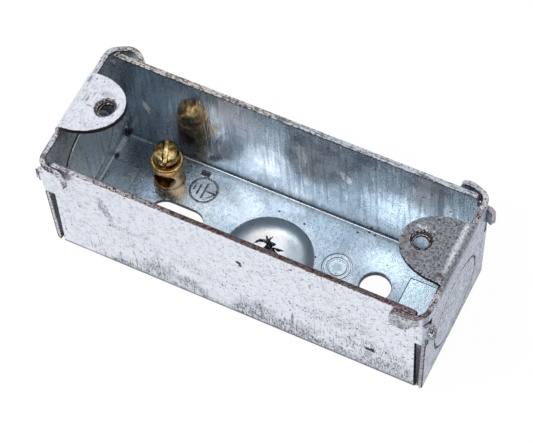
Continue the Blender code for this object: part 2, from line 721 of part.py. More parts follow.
def build_pillar(parts, cutters, parent, material):
    """The brass post: a turned body with a spigot peened over under the base."""
    mouth_floor = PILLAR_TOP - MOUTH_DEPTH
    profile = [
        (0, SHEET + BORE_FLOOR),
        (BORE_RADIUS, SHEET + BORE_FLOOR),
        (BORE_RADIUS, mouth_floor),
        (MOUTH_RADIUS, PILLAR_TOP),
        (PILLAR_RADIUS - PILLAR_CHAMFER, PILLAR_TOP),
        (PILLAR_RADIUS, PILLAR_TOP - PILLAR_CHAMFER),
        (PILLAR_RADIUS, PILLAR_SEAT),
        (SPIGOT_RADIUS, PILLAR_SEAT),
        (SPIGOT_RADIUS, RIVET_DEPTH),
        (RIVET_RADIUS, RIVET_SINK),
        (0, RIVET_SINK),
    ]
    post = turned('earth_terminal_pillar', profile, ROUND_SEGMENTS, parts)
    bpy.ops.mesh.primitive_cylinder_add(vertices=SMALL_SEGMENTS, radius=WIRE_HOLE_RADIUS,
                                        depth=2 * PILLAR_RADIUS + SLACK)
    hole = bpy.context.object
    hole.name = 'wire_hole'
    hole.rotation_euler = (math.pi / 2, 0, WIRE_HOLE_TURN)
    hole.location = (PILLAR_CENTRE[0], PILLAR_CENTRE[1], WIRE_HOLE_AXIS)
    for owner in list(hole.users_collection):
        owner.objects.unlink(hole)
    cutters.objects.link(hole)
    hide_cutter(hole).parent = parent
    post.location = (PILLAR_CENTRE[0], PILLAR_CENTRE[1], 0)
    add_boolean(post, hole, 'DIFFERENCE')
    finish_piece(post, material, parent)


def build_screw(parts, cutters, parent, material):
    """The clamp screw: its origin is on its axis, under its head."""
    crown = [(HEAD_RADIUS * math.sin(a), HEAD_EDGE + HEAD_CROWN * math.cos(a))
             for a in np.linspace(0, math.pi / 2, 7)]
    profile = crown + [
        (HEAD_RADIUS, SCREW_CHAMFER),
        (HEAD_RADIUS - SCREW_CHAMFER, 0),
        (THREAD_RADIUS, 0),
        (THREAD_RADIUS, SCREW_CHAMFER - SHANK_LENGTH),
        (THREAD_RADIUS - SCREW_CHAMFER, -SHANK_LENGTH),
        (0, -SHANK_LENGTH),
    ]
    screw = turned('earth_terminal_screw', profile, ROUND_SEGMENTS, parts)
    screw.location = (PILLAR_CENTRE[0], PILLAR_CENTRE[1], HEAD_SEAT)
    top = HEAD_EDGE + HEAD_CROWN
    recess_floor = HEAD_SEAT + top - SLOT_DEPTH
    middle = (PILLAR_CENTRE[0], PILLAR_CENTRE[1], recess_floor + SLACK)
    slot = block('driver_slot', (2 * HEAD_RADIUS + SLACK, SLOT_WIDTH, 2 * SLACK),
                 middle, SLOT_TURN, cutters)
    cross = block('driver_cross', (CROSS_WIDTH, CROSS_LENGTH, 2 * SLACK), middle, SLOT_TURN, cutters)
    for cutter in (slot, cross):
        cutter.parent = parent
        add_boolean(screw, cutter, 'DIFFERENCE')
    finish_piece(screw, material, parent)


for old in list(bpy.data.objects):
    bpy.data.objects.remove(old, do_unlink=True)
part_objects = new_collection('architrave_back_box')
cutter_objects = new_collection('cutters')
base_frame = new_object('base_frame', None, part_objects)
base_frame.location.z = DISH_DEPTH
build_box(part_objects, cutter_objects, base_frame)
brass_material = brass()
build_pillar(part_objects, cutter_objects, base_frame, brass_material)
build_screw(part_objects, cutter_objects, base_frame, brass_material)
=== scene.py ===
"""An architrave back box of galvanised steel with its brass earth terminal, dressed."""

import math

import bmesh
import bpy
import numpy as np
from mathutils import Matrix, Vector
from mathutils.bvhtree import BVHTree


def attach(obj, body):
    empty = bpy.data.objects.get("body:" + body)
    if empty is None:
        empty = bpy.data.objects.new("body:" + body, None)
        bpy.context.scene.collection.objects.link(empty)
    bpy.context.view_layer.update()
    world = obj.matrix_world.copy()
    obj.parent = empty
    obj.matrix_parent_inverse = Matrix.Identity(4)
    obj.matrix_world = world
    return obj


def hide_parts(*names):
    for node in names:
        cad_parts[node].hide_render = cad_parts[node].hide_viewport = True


MM = 0.001
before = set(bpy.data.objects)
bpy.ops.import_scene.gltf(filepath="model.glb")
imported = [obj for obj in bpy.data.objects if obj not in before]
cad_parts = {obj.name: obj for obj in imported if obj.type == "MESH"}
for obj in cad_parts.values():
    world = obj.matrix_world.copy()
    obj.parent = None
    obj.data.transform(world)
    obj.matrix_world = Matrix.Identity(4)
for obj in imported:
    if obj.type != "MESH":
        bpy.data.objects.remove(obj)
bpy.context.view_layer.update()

# Pressed steel box
# One sheet of 1 mm galvanised steel, pierced and folded. Its outside has weathered to a
# pale zinc, its inside is still bright and blue, and its sheared edges are bare and rusty.
SHEET = 1.0 * MM
BASE_TOP = 3.0 * MM
ARRIS_WIDTH = 0.07 * MM
DISH_MIDDLE = (0.3, -0.9)
DISH_RADIUS = 8.6 * MM
DISH_SIDE = 0.8 * MM
END_LEAN = math.radians(1.45)
CORE_REACH = 25 * MM
CORE_HEIGHT = 15 * MM


def welded_copy(node, name):
    """A CAD node's triangles as a new piece: corners merged, faces in one plane joined."""
    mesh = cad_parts[node].data.copy()
    mesh.name = name
    mesh.materials.clear()
    work = bmesh.new()
    work.from_mesh(mesh)
    bmesh.ops.remove_doubles(work, verts=work.verts, dist=0.0002 * MM)
    bmesh.ops.dissolve_limit(work, angle_limit=math.radians(0.3),
                             verts=work.verts, edges=work.edges)
    work.to_mesh(mesh)
    work.free()
    if "custom_normal" in mesh.attributes:
        mesh.attributes.remove(mesh.attributes["custom_normal"])
    piece = bpy.data.objects.new(name, mesh)
    bpy.context.scene.collection.objects.link(piece)
    return piece


def soften(piece, width, sharp=32, arris=-1):
    """Round a piece's sharp edges a little, with the material slot that they show."""
    piece.data.shade_smooth()
    bevel = piece.modifiers.new("arris", "BEVEL")
    bevel.width = width
    bevel.segments = 2
    bevel.limit_method = "ANGLE"
    bevel.angle_limit = math.radians(sharp)
    bevel.use_clamp_overlap = False
    bevel.material = arris
    normals = piece.modifiers.new("flats", "WEIGHTED_NORMAL")
    normals.keep_sharp = True
    normals.weight = 80


def sheet_faces(mesh):
    """Which side of the sheet each face is on: 0 outside, 1 inside, 2 a sheared edge.

    A ray goes into the sheet from the middle of the face's largest triangle. It comes out
    again within the sheet's thickness, unless the face is an edge.
    """
    mesh.calc_loop_triangles()
    count = len(mesh.loop_triangles)
    owner = np.empty(count, int)
    area = np.empty(count)
    corners = np.empty(3 * count, int)
    mesh.loop_triangles.foreach_get("polygon_index", owner)
    mesh.loop_triangles.foreach_get("area", area)
    mesh.loop_triangles.foreach_get("vertices", corners)
    points = np.empty(3 * len(mesh.vertices))
    mesh.vertices.foreach_get("co", points)
    middles = points.reshape(-1, 3)[corners.reshape(-1, 3)].mean(1)
    order = np.argsort(area)
    largest = np.empty(len(mesh.polygons), int)
    largest[owner[order]] = order
    middles = middles[largest]
    normals = np.empty(3 * len(mesh.polygons))
    mesh.polygons.foreach_get("normal", normals)
    normals = normals.reshape(-1, 3)
    solid = BVHTree.FromPolygons([v.co for v in mesh.vertices],
                                 [tuple(p.vertices) for p in mesh.polygons])
    depth = np.array([solid.ray_cast(Vector(m - n * 0.001 * MM), Vector(-n))[3] or 1.0
                      for m, n in zip(middles, normals)])
    # The line along the middle of the box, which every outer face looks away from
    core = np.column_stack([np.clip(middles[:, 0], -CORE_REACH, CORE_REACH),
                            np.zeros(len(middles)), np.full(len(middles), CORE_HEIGHT)])
    outward = ((middles - core) * normals).sum(1) > 0
    sides = np.where(depth > 1.25 * SHEET, 2, np.where(outward, 0, 1))
    # The dish's steep side is thicker along the ray, but it is no edge
    from_dish = middles[:, :2] - np.array(DISH_MIDDLE) * MM
    far = np.hypot(from_dish[:, 0], from_dish[:, 1])
    steep = (np.abs(far - DISH_RADIUS) < DISH_SIDE) & (sides == 2) & (middles[:, 2] < BASE_TOP)
    facing_in = (from_dish * normals[:, :2]).sum(1) < 0
    return np.where(steep, np.where(facing_in, 1, 0), sides)


box = welded_copy("box_body", "pressed_box")
box.data.polygons.foreach_set("material_index", sheet_faces(box.data).astype(np.int32))
soften(box, ARRIS_WIDTH, arris=3)
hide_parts("box_body")
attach(box, "box")


def add(tree, kind, feeds=None, **settings):
    """A new node. feeds gives each input, by name or number, a value or another's output."""
    node = tree.nodes.new(kind)
    for name, value in settings.items():
        setattr(node, name, value)
    for name, value in (feeds or {}).items():
        if isinstance(value, bpy.types.NodeSocket):
            tree.links.new(value, node.inputs[name])
        else:
            node.inputs[name].default_value = value
    return node


def maths(tree, operation, first, second=0.0):
    """One sum of two values."""
    return add(tree, "ShaderNodeMath", {0: first, 1: second}, operation=operation).outputs[0]


def times(tree, *values):
    """Several masks multiplied together."""
    product = values[0]
    for value in values[1:]:
        product = maths(tree, "MULTIPLY", product, value)
    return product


def strongest(tree, *values):
    """The largest of several masks."""
    largest = values[0]
    for value in values[1:]:
        largest = maths(tree, "MAXIMUM", largest, value)
    return largest


def without(tree, mask):
    """1 where a mask is 0, and 0 where it is 1."""
    return maths(tree, "SUBTRACT", 1.0, mask)


def ramp(tree, value, low, high, start=0.0, end=1.0):
    """A smooth step from start, where the value is low, to end, where it is high."""
    return add(tree, "ShaderNodeMapRange",
               {"Value": value, "From Min": low, "From Max": high, "To Min": start,
                "To Max": end}, interpolation_type="SMOOTHSTEP").outputs[0]


def rise(tree, value, low, high, start=0.0, end=1.0):
    """The same step between two places, which are given in millimetres."""
    return ramp(tree, value, low * MM, high * MM, start, end)


def fall(tree, value, low, high):
    """A smooth step from 1 to 0 between two places in millimetres."""
    return rise(tree, value, low, high, 1.0, 0.0)


def between(tree, value, low, high, soft):
    """1 between two places in millimetres, and 0 outside them."""
    return times(tree, rise(tree, value, low - soft, low + soft),
                 fall(tree, value, high - soft, high + soft))


def tint(tree, share, under, over):
    """One tone over another, by a share from 0 to 1. A tone is a socket or three numbers."""
    under, over = (tone if isinstance(tone, bpy.types.NodeSocket) else (*tone, 1)
                   for tone in (under, over))
    return add(tree, "ShaderNodeMix", {0: share, 6: under, 7: over}, data_type="RGBA").outputs[2]


def lay(tree, colour, tone, *masks):
    """A tone laid over a colour where all of the masks are strong."""
    return tint(tree, times(tree, *masks), colour, tone)


def distance_from(tree, place, centre):
    """How far each point lies from one place, which is given in millimetres."""
    return add(tree, "ShaderNodeVectorMath", {0: place, 1: tuple(Vector(centre) * MM)},
               operation="DISTANCE").outputs["Value"]


def new_group(name, output, **inputs):
    """An empty shared effect: a position and these values go in, and one value comes out."""
    tree = bpy.data.node_groups.new(name, "ShaderNodeTree")
    for label, value in {"Position": (0, 0, 0), **inputs}.items():
        kind = "NodeSocketVector" if isinstance(value, tuple) else "NodeSocketFloat"
        socket = tree.interface.new_socket(label, in_out="INPUT", socket_type=kind)
        socket.default_value = value
    tree.interface.new_socket(output, in_out="OUTPUT", socket_type="NodeSocketFloat")
    return tree, tree.nodes.new("NodeGroupInput").outputs, tree.nodes.new("NodeGroupOutput").inputs


def use(tree, group, place, **feeds):
    """A shared effect placed in a material with its own values, as its one output."""
    return add(tree, "ShaderNodeGroup", {"Position": place, **feeds}, node_tree=group).outputs[0]


# Streaks and scratches: noise that is stretched along one way, kept where it is strongest.
streaks, given, result = new_group("streaks", "Mask", Stretch=(300, 300, 300), Turn=(0, 0, 0),
                                   Above=0.6, Soft=0.08)
turned = add(streaks, "ShaderNodeMapping", {"Vector": given["Position"], "Rotation": given["Turn"]})
stretched = add(streaks, "ShaderNodeVectorMath", {0: turned.outputs[0], 1: given["Stretch"]},
                operation="MULTIPLY").outputs[0]
grain = add(streaks, "ShaderNodeTexNoise",
            {"Vector": stretched, "Scale": 1.0, "Detail": 3.0, "Roughness": 0.6}).outputs[0]
full = maths(streaks, "ADD", given["Above"], given["Soft"])
streaks.links.new(ramp(streaks, grain, given["Above"], full), result["Mask"])

# Pits: small round specks of uneven size, in the cells of a broken-up surface.
pits, given, result = new_group("pits", "Mask", Density=800.0, Size=0.2, Cover=0.3)
ragged = add(pits, "ShaderNodeTexNoise",
             {"Vector": given["Position"], "Scale": 3000.0, "Detail": 2.0}).outputs[0]
cells = add(pits, "ShaderNodeTexVoronoi", {"Vector": given["Position"], "Scale": given["Density"]})
parts = add(pits, "ShaderNodeSeparateColor", {"Color": cells.outputs["Color"]}).outputs
present = maths(pits, "LESS_THAN", parts[0], given["Cover"])
reach = times(pits, times(pits, given["Size"], ramp(pits, ragged, 0.2, 0.8)),
              ramp(pits, parts[1], 0.0, 1.0, 0.5, 1.6))
spot = ramp(pits, cells.outputs["Distance"], times(pits, reach, 0.7), reach, 1.0, 0.0)
pits.links.new(times(pits, spot, present), result["Mask"])

# Cloud: soft patches of light and dark, and a finer mottle, as one value about a half.
cloud, given, result = new_group("cloud", "Value", Size=200.0, Fine=0.3)
broad = add(cloud, "ShaderNodeTexNoise",
            {"Vector": given["Position"], "Scale": given["Size"], "Detail": 4.0,
             "Roughness": 0.55}).outputs[0]
small = add(cloud, "ShaderNodeTexNoise",
            {"Vector": given["Position"], "Scale": 2400.0, "Detail": 2.0}).outputs[0]
fine = times(cloud, maths(cloud, "SUBTRACT", small, 0.5), given["Fine"])
cloud.links.new(maths(cloud, "ADD", broad, fine), result["Value"])

# Patch: a soft spot about one place, with a ragged edge.
patch, given, result = new_group("patch", "Mask", Centre=(0, 0, 0), Turn=(0, 0, 0),
                                 Reach=(0.005, 0.005, 0.005), Ragged=0.5)
away = add(patch, "ShaderNodeVectorMath", {0: given["Position"], 1: given["Centre"]},
           operation="SUBTRACT").outputs[0]
away = add(patch, "ShaderNodeMapping", {"Vector": away, "Rotation": given["Turn"]}).outputs[0]
away = add(patch, "ShaderNodeVectorMath", {0: away, 1: given["Reach"]},
           operation="DIVIDE").outputs[0]
away = add(patch, "ShaderNodeVectorMath", {0: away}, operation="LENGTH").outputs["Value"]
torn = add(patch, "ShaderNodeTexNoise",
           {"Vector": given["Position"], "Scale": 1500.0, "Detail": 3.0}).outputs[0]
torn = times(patch, maths(patch, "SUBTRACT", torn, 0.5), given["Ragged"])
patch.links.new(ramp(patch, maths(patch, "ADD", away, torn), 0.6, 1.1, 1.0, 0.0), result["Mask"])


def new_material(name, metallic):
    """A material with its node tree, its shader, and the object's own coordinates."""
    material = bpy.data.materials.new(name)
    material.use_nodes = True
    tree = material.node_tree
    shader = tree.nodes["Principled BSDF"]
    shader.inputs["Metallic"].default_value = metallic
    place = add(tree, "ShaderNodeTexCoord").outputs["Object"]
    return material, tree, shader, place


def axes_of(tree, place):
    """A place's x, y and z."""
    return add(tree, "ShaderNodeSeparateXYZ", {0: place}).outputs


def finish_material(tree, shader, colour, roughness, height, depth):
    """Feed the shader its colour, roughness and bump."""
    tree.links.new(colour, shader.inputs["Base Color"])
    tree.links.new(roughness, shader.inputs["Roughness"])
    bump = add(tree, "ShaderNodeBump", {"Height": height, "Strength": 1.0, "Distance": depth})
    tree.links.new(bump.outputs[0], shader.inputs["Normal"])


def spot_at(tree, place, centre, reach, lean=0, ragged=0.9):
    """A soft spot by its middle and reach in millimetres, leaning by some degrees about Y."""
    return use(tree, patch, place, Centre=tuple(Vector(centre) * MM),
               Reach=tuple(Vector(reach) * MM), Turn=(0, math.radians(lean), 0), Ragged=ragged)


def lay_patches(tree, place, colour, spots, grain=1.0):
    """Soft spots of other tones over a colour: middle, reach, lean, tone and share of each.

    A grain mask breaks them up into its own streaks.
    """
    for centre, reach, lean, tone, share in spots:
        colour = lay(tree, colour, tone, spot_at(tree, place, centre, reach, lean), share, grain)
    return colour


ZINC_PALE = (0.83, 0.86, 0.94)
ZINC_MID = (0.62, 0.66, 0.75)
ZINC_GREY = (0.28, 0.30, 0.35)
ZINC_DARK = (0.045, 0.047, 0.058)
OIL_BROWN = (0.045, 0.028, 0.024)
RUST = (0.034, 0.016, 0.012)
RUST_LIGHT = (0.16, 0.066, 0.042)
BLACK_SPECK = (0.02, 0.022, 0.03)
WHITE = (1, 1, 1)
# Places in millimetres: the long walls' seen faces, and the middles of holes and marks
FRONT_WALL = -13.1
BACK_WALL = 12.1
BASE_HOLE = (20.65, 1.85, 3.0)
BLANK_MARK = (12.7, 2.7, 3.0)
TEAR_MIDDLE = (-1.4, 2.2, 1.0)
WALL_GLINT = (-30.2, BACK_WALL, 15.4)
LUG_HOLES = {"right": (30.149, 0, 30.1), "left": (-30.248, 0, 32.21)}
RING_MIDDLE = (0, 0, 13.2)
# The light that the post throws on the base, by its x, y, length and width
POST_GLOW = (-21.2, 5.0, 1.6, 1.8)


def distance_from_ring(tree, place):
    """How far each point of an end wall lies from the middle of its round knockout."""
    upright = add(tree, "ShaderNodeVectorMath", {0: place, 1: (0, 1, 1)}, operation="MULTIPLY")
    return distance_from(tree, upright.outputs[0], RING_MIDDLE)


outside, tree, shader, place = new_material("weathered_zinc", 0.85)
x, y, z = axes_of(tree, place)
mottle = use(tree, cloud, place, Size=700.0, Fine=1.3)
colour = tint(tree, ramp(tree, mottle, 0.22, 0.52), ZINC_MID, ZINC_PALE)
# The right end is painted darker, as painted shade, and the ear at the front right is painted
# darker too
at_right = rise(tree, x, 36.0, 36.7)
shaded = tint(tree, ramp(tree, mottle, 0.25, 0.6), (0.29, 0.325, 0.41), (0.53, 0.58, 0.69))
colour = lay(tree, colour, shaded, at_right)
flap = times(tree, rise(tree, y, -13.4, -13.6), rise(tree, x, 25, 27))
colour = lay(tree, colour, (0.33, 0.335, 0.37), flap, ramp(tree, mottle, 0.35, 0.6, 0.9, 0.4))
# Fine upright scuffs low on the outer faces, but not at the left end
broad = use(tree, cloud, place, Size=95.0, Fine=0.2)
reach_up = times(tree, maths(tree, "SUBTRACT", broad, 0.52), -26 * MM)
foot = fall(tree, maths(tree, "ADD", z, reach_up), 4.2, 8.0)
worn = times(tree, foot, rise(tree, x, -33, -29), rise(tree, z, 3.5, 3.8))
colour = lay(tree, colour, (0.36, 0.38, 0.45), worn, 0.38)
scuffed = use(tree, streaks, place, Stretch=(4800, 4800, 1200), Above=0.465, Soft=0.13)
colour = lay(tree, colour, (0.11, 0.12, 0.15), worn, scuffed, rise(tree, x, 16, 28, 1.0, 0.6))
# Scratches: upright, slanted and crossed ones, and wiped ones at the right end
upright = use(tree, streaks, place, Stretch=(2600, 2600, 230), Above=0.60, Soft=0.06)
lower_down = rise(tree, z, 6, 18, 0.8, 0.2)
slanted = use(tree, streaks, place, Stretch=(170, 170, 2900), Turn=(0, 0.45, 0.2), Above=0.62,
              Soft=0.05)
crossed = use(tree, streaks, place, Stretch=(260, 260, 2600), Turn=(0, -0.7, 0), Above=0.66,
              Soft=0.04)
wiped = use(tree, streaks, place, Stretch=(2600, 2600, 330), Turn=(0.785, 0, 0), Above=0.53,
            Soft=0.09)
on_left_lug = times(tree, rise(tree, x, -25.5, -26.5), rise(tree, z, 30, 31))
colour = lay(tree, colour, (0.60, 0.63, 0.70), on_left_lug,
             ramp(tree, mottle, 0.36, 0.6, 0.75, 0.15))
scratched = strongest(tree, times(tree, upright, lower_down),
                      times(tree, strongest(tree, slanted, crossed),
                            ramp(tree, on_left_lug, 0, 1, 0.24, 0.9)))
scratched = strongest(tree, scratched, times(tree, wiped, at_right, 0.6))
colour = lay(tree, colour, ZINC_GREY, scratched)
# Smears of the same scuffing higher up
colour = lay_patches(tree, place, colour, [
    ((-24.7, FRONT_WALL, 21.2), (1.1, 1.5, 4.0), 16, (0.16, 0.18, 0.23), 1.0),
    ((-21.4, FRONT_WALL, 16.4), (3.4, 1.5, 1.0), 0, ZINC_GREY, 0.7),
    ((27.5, FRONT_WALL, 9.5), (7.5, 1.5, 4.0), 0, (0.20, 0.21, 0.24), 0.7),
    ((20.0, FRONT_WALL, 15.5), (8.0, 1.5, 2.5), 10, ZINC_GREY, 0.6),
    ((-7.0, FRONT_WALL, 12.5), (6.0, 1.5, 1.6), -10, ZINC_GREY, 0.5),
    ((33.0, -13.9, 26.0), (3.4, 1.2, 1.4), 0, (0.20, 0.20, 0.22), 1.0),
], grain=scuffed)
# Right lug: the zinc has gone dull and grey, with rust about the screw hole
on_lug = times(tree, rise(tree, x, 26, 27), rise(tree, z, 26.2, 28.6),
               fall(tree, maths(tree, "ABSOLUTE", y), 7.5, 8.5))
dull = use(tree, cloud, place, Size=3800.0, Fine=1.0)
dull_colour = tint(tree, ramp(tree, dull, 0.3, 0.68), (0.125, 0.135, 0.155), (0.30, 0.32, 0.36))
colour = lay(tree, colour, dull_colour, on_lug)
# A painted highlight along the lug's bend
lug_bend_highlight = times(tree, between(tree, x, 35.7, 36.5, 0.4), on_lug,
                   rise(tree, y, -5, 0.0, 0.3, 1.0), ramp(tree, dull, 0.3, 0.6, 0.4, 0.9))
colour = lay(tree, colour, (0.80, 0.82, 0.87), lug_bend_highlight)
rubbed = use(tree, streaks, place, Stretch=(1200, 300, 1200), Above=0.40, Soft=0.2)
colour = lay_patches(tree, place, colour, [
    ((30.2, -3.0, 30.1), (2.2, 0.9, 1.0), 0, RUST_LIGHT, 0.35),
    ((27.7, -0.6, 30.1), (0.7, 2.0, 1.0), 0, RUST_LIGHT, 0.35),
    ((30.0, 2.4, 30.1), (2.0, 0.5, 1.0), 0, (0.72, 0.74, 0.78), 0.9),
], grain=rubbed)
# Single marks: on the lugs, down the front wall, and in the corners below the ears
colour = lay_patches(tree, place, colour, [
    ((35.8, -4.9, 29.6), (0.9, 0.5, 1.0), 0, RUST, 0.7),
    ((-31.4, 2.6, 32.3), (1.6, 0.8, 1.5), 0, (0.40, 0.44, 0.50), 0.6),
    ((-33.4, -0.5, 32.2), (0.9, 0.25, 1.5), 0, (0.24, 0.28, 0.34), 0.7),
    ((-24.7, FRONT_WALL, 21.2), (1.0, 1.5, 4.2), 16, (0.42, 0.46, 0.56), 0.4),
    ((-14.9, -13.2, 9.2), (0.16, 1.0, 2.4), 3, ZINC_GREY, 0.9),
    ((5.5, -13.2, 7.2), (0.28, 1.0, 3.4), 3, ZINC_GREY, 0.9),
    ((11.6, -13.2, 9.2), (0.3, 1.0, 2.8), -2, ZINC_GREY, 0.9),
    ((1.66, FRONT_WALL, 21.9), (0.62, 1.0, 0.6), 0, (0.03, 0.02, 0.02), 1.0),
    ((1.95, FRONT_WALL, 21.1), (0.4, 1.0, 0.5), 0, (0.03, 0.02, 0.02), 1.0),
    ((11.86, -13.0, 27.0), (0.35, 1.0, 0.3), 0, RUST, 1.0),
    ((8.4, -13.2, 6.0), (0.25, 1.0, 0.25), 0, (0.03, 0.03, 0.03), 1.0),
    ((-25.5, FRONT_WALL, 26.3), (0.2, 1.0, 0.2), 0, (0.03, 0.03, 0.03), 1.0),
    ((-24.1, FRONT_WALL, 16.2), (0.25, 1.0, 0.25), 0, (0.03, 0.03, 0.03), 1.0),
    ((26.2, -13.2, 9.9), (0.8, 1.0, 0.6), 0, (0.02, 0.02, 0.02), 1.0),
    ((27.1, -13.2, 10.0), (0.55, 1.0, 0.8), 0, (0.02, 0.02, 0.02), 1.0),
    ((26.4, -13.2, 8.3), (1.0, 1.0, 1.0), 0, ZINC_GREY, 0.6),
    ((38.0, -12.8, 24.4), (1.0, 1.4, 2.0), 0, (0.10, 0.09, 0.09), 0.7),
    ((-38.1, -12.6, 25.0), (1.0, 1.4, 1.6), 0, (0.07, 0.07, 0.09), 0.8),
    ((38.0, 12.8, 24.6), (1.0, 1.4, 2.4), 0, (0.20, 0.19, 0.21), 0.8),
])
# Painted shade on the fold along the foot, as a band and a line above it, and the sheared ring of
# each end's knockout as a dark line
fold_shade = between(tree, z, 1.9, 3.4, 0.1)
colour = lay(tree, colour, (0.40, 0.43, 0.51), fold_shade, 0.9)
fold_shade_line = between(tree, z, 3.3, 3.75, 0.1)
fold_shade_line = times(tree, fold_shade_line, ramp(tree, broad, 0.35, 0.5, 0.5, 0.9))
from_ring = distance_from_ring(tree, place)
on_ends = rise(tree, maths(tree, "ABSOLUTE", x), 36.0, 36.3)
ring_line = times(tree, between(tree, from_ring, 8.25, 8.95, 0.07), on_ends,
                  ramp(tree, broad, 0.44, 0.56, 0.95, 0.45))
colour = lay(tree, colour, (0.10, 0.10, 0.125), strongest(tree, fold_shade_line, ring_line))
# Countersunk mouths of the tapped holes, brown from the tap's oil
for hole_x, hole_y, hole_z in LUG_HOLES.values():
    # Measured from just below the lug's face
    from_axis = distance_from(tree, place, (hole_x, hole_y, hole_z - 0.1))
    uneven = maths(tree, "ADD", from_axis, times(tree, mottle, 0.35 * MM))
    colour = lay(tree, colour, (0.055, 0.033, 0.03), fall(tree, uneven, 2.15, 2.4), 0.92)
# Dark specks, more of them towards the right
near_right = rise(tree, x, -20, 36, 0.05, 0.42)
speckle = use(tree, pits, place, Density=1900.0, Size=0.55, Cover=near_right)
specks = use(tree, pits, place, Density=800.0, Size=0.25, Cover=rise(tree, x, -10, 30, 0.08, 0.18))
speckle = strongest(tree, times(tree, speckle, 0.8), specks)
colour = lay(tree, colour, ZINC_DARK, speckle)
finish_material(tree, shader, colour, ramp(tree, mottle, 0.3, 0.7, 0.5, 0.36),
                maths(tree, "SUBTRACT", mottle, maths(tree, "ADD", speckle, scratched)), 0.04 * MM)

inside, tree, shader, place = new_material("bright_zinc", 1.0)
x, y, z = axes_of(tree, place)
mottle = use(tree, cloud, place, Size=240.0, Fine=0.7)
on_floor = fall(tree, z, 3.1, 3.5)
# The walls are painted darker than the floor, as painted shade and painted reflection of the dark
# inside
shaded_wall_colour = tint(tree, ramp(tree, mottle, 0.32, 0.66), (0.20, 0.24, 0.285), (0.40, 0.45, 0.51))
floor_colour = tint(tree, ramp(tree, mottle, 0.32, 0.6), (0.33, 0.39, 0.44), (0.52, 0.60, 0.66))
colour = tint(tree, on_floor, shaded_wall_colour, floor_colour)


def on_back_wall(rows, depth=2.0):
    """Spots on the back wall, from rows of x, z, width, height, lean, tone and share."""
    return [((along, BACK_WALL, up), (wide, depth, high), *rest)
            for along, up, wide, high, *rest in rows]


def on_base(rows, depth=1.5):
    """Spots on the base, from rows of x, y, length, width, lean, tone and share."""
    return [((along, across, BASE_TOP / MM), (long, wide, depth), *rest)
            for along, across, long, wide, *rest in rows]


# Painted reflections, highlights and shade: pale on the left end, light and dark on the back
# wall with the post's painted reflection, painted shadow in the left end's corners and under
# its lug, and painted reflections, shadow and the post's glow on the base
colour = lay_patches(tree, place, colour, [
    ((-36.0, 2.0, 12.0), (1.4, 13.0, 18.0), 0, (0.72, 0.82, 0.90), 0.9),
] + on_back_wall([
    (-30.5, 17.0, 8.0, 15.0, 0, (0.42, 0.50, 0.59), 0.85),
    (-30.2, 15.4, 0.6, 2.2, 8, (0.75, 0.80, 0.88), 0.8),
    (-11.4, 22.5, 4.5, 5.0, 0, (0.36, 0.37, 0.43), 0.75),
    (-15.5, 11.0, 3.4, 5.0, 0, (0.10, 0.11, 0.13), 0.75),
    (-4.5, 13.0, 5.0, 5.5, 0, (0.52, 0.56, 0.62), 0.75),
    (1.8, 17.0, 1.3, 7.5, 4, (0.74, 0.73, 0.77), 0.75),
    (6.3, 25.0, 3.0, 2.0, 0, (0.14, 0.18, 0.23), 0.7),
    (10.2, 18.3, 1.1, 2.0, 25, (1.0, 0.90, 0.88), 0.85),
    (7.0, 7.0, 4.0, 2.5, 0, (0.30, 0.36, 0.42), 0.7),
    (20.0, 13.5, 8.0, 6.5, 0, (0.62, 0.71, 0.78), 0.85),
    (28.6, 22.0, 0.7, 6.0, 0, (0.12, 0.14, 0.17), 0.7),
    (30.0, 20.0, 1.0, 3.0, 0, (0.62, 0.66, 0.70), 0.7),
    (-20.4, 19.4, 3.0, 4.2, 0, (0.62, 0.57, 0.48), 0.75),
]) + [
    ((-36.0, -12.4, 11.0), (1.3, 0.9, 11.0), 0, (0.03, 0.035, 0.045), 0.95),
    ((-35.9, 8.6, 17.5), (1.4, 3.6, 6.0), 0, (0.07, 0.08, 0.10), 0.8),
] + on_base([
    (-29.5, 8.5, 5.5, 4.5, 0, (0.25, 0.29, 0.33), 0.8),
    (*POST_GLOW, 0, (1.0, 0.87, 0.66), 0.95),
    (-16.6, 7.0, 3.2, 3.2, 0, (0.40, 0.44, 0.48), 0.8),
    (-9.0, 7.0, 5.0, 4.5, 0, (0.72, 0.77, 0.81), 0.85),
    (-2.0, 10.6, 5.0, 1.6, 0, (0.68, 0.74, 0.79), 0.7),
    (20.5, 6.5, 7.0, 3.4, 0, (0.62, 0.70, 0.76), 0.75),
    (25.0, -2.0, 2.2, 4.2, 0, (0.30, 0.35, 0.39), 0.7),
    (14.9, 1.2, 1.6, 1.2, 20, (0.80, 0.86, 0.90), 0.6),
]) + [
    ((33.5, -9.5, 3.0), (3.0, 5.0, 1.6), 0, (0.05, 0.055, 0.065), 0.9),
    ((-33.8, 0.6, 3.0), (1.8, 3.0, 1.2), 0, (0.66, 0.76, 0.83), 0.7),
])
# Pads at the ends of the floor, pressed a little lower and painted lighter, the right one most
sunk = between(tree, z, 2.7, 2.9, 0.04)
pad = times(tree, sunk, rise(tree, maths(tree, "ABSOLUTE", x), 24, 25),
            rise(tree, x, -30, 0.0, 0.35, 0.95), fall(tree, y, -4, -6))
hatched = use(tree, streaks, place, Stretch=(2200, 300, 300), Turn=(0, 0, 0.5), Above=0.5)
pad_colour = tint(tree, hatched, (0.68, 0.78, 0.83), (0.61, 0.72, 0.77))
colour = lay(tree, colour, pad_colour, pad)
# Stamped earth mark
engraved = times(tree, sunk, fall(tree, x, -13.5, -12.5), rise(tree, x, -20.5, -20))
colour = lay(tree, colour, (0.13, 0.14, 0.16), engraved, 0.9)
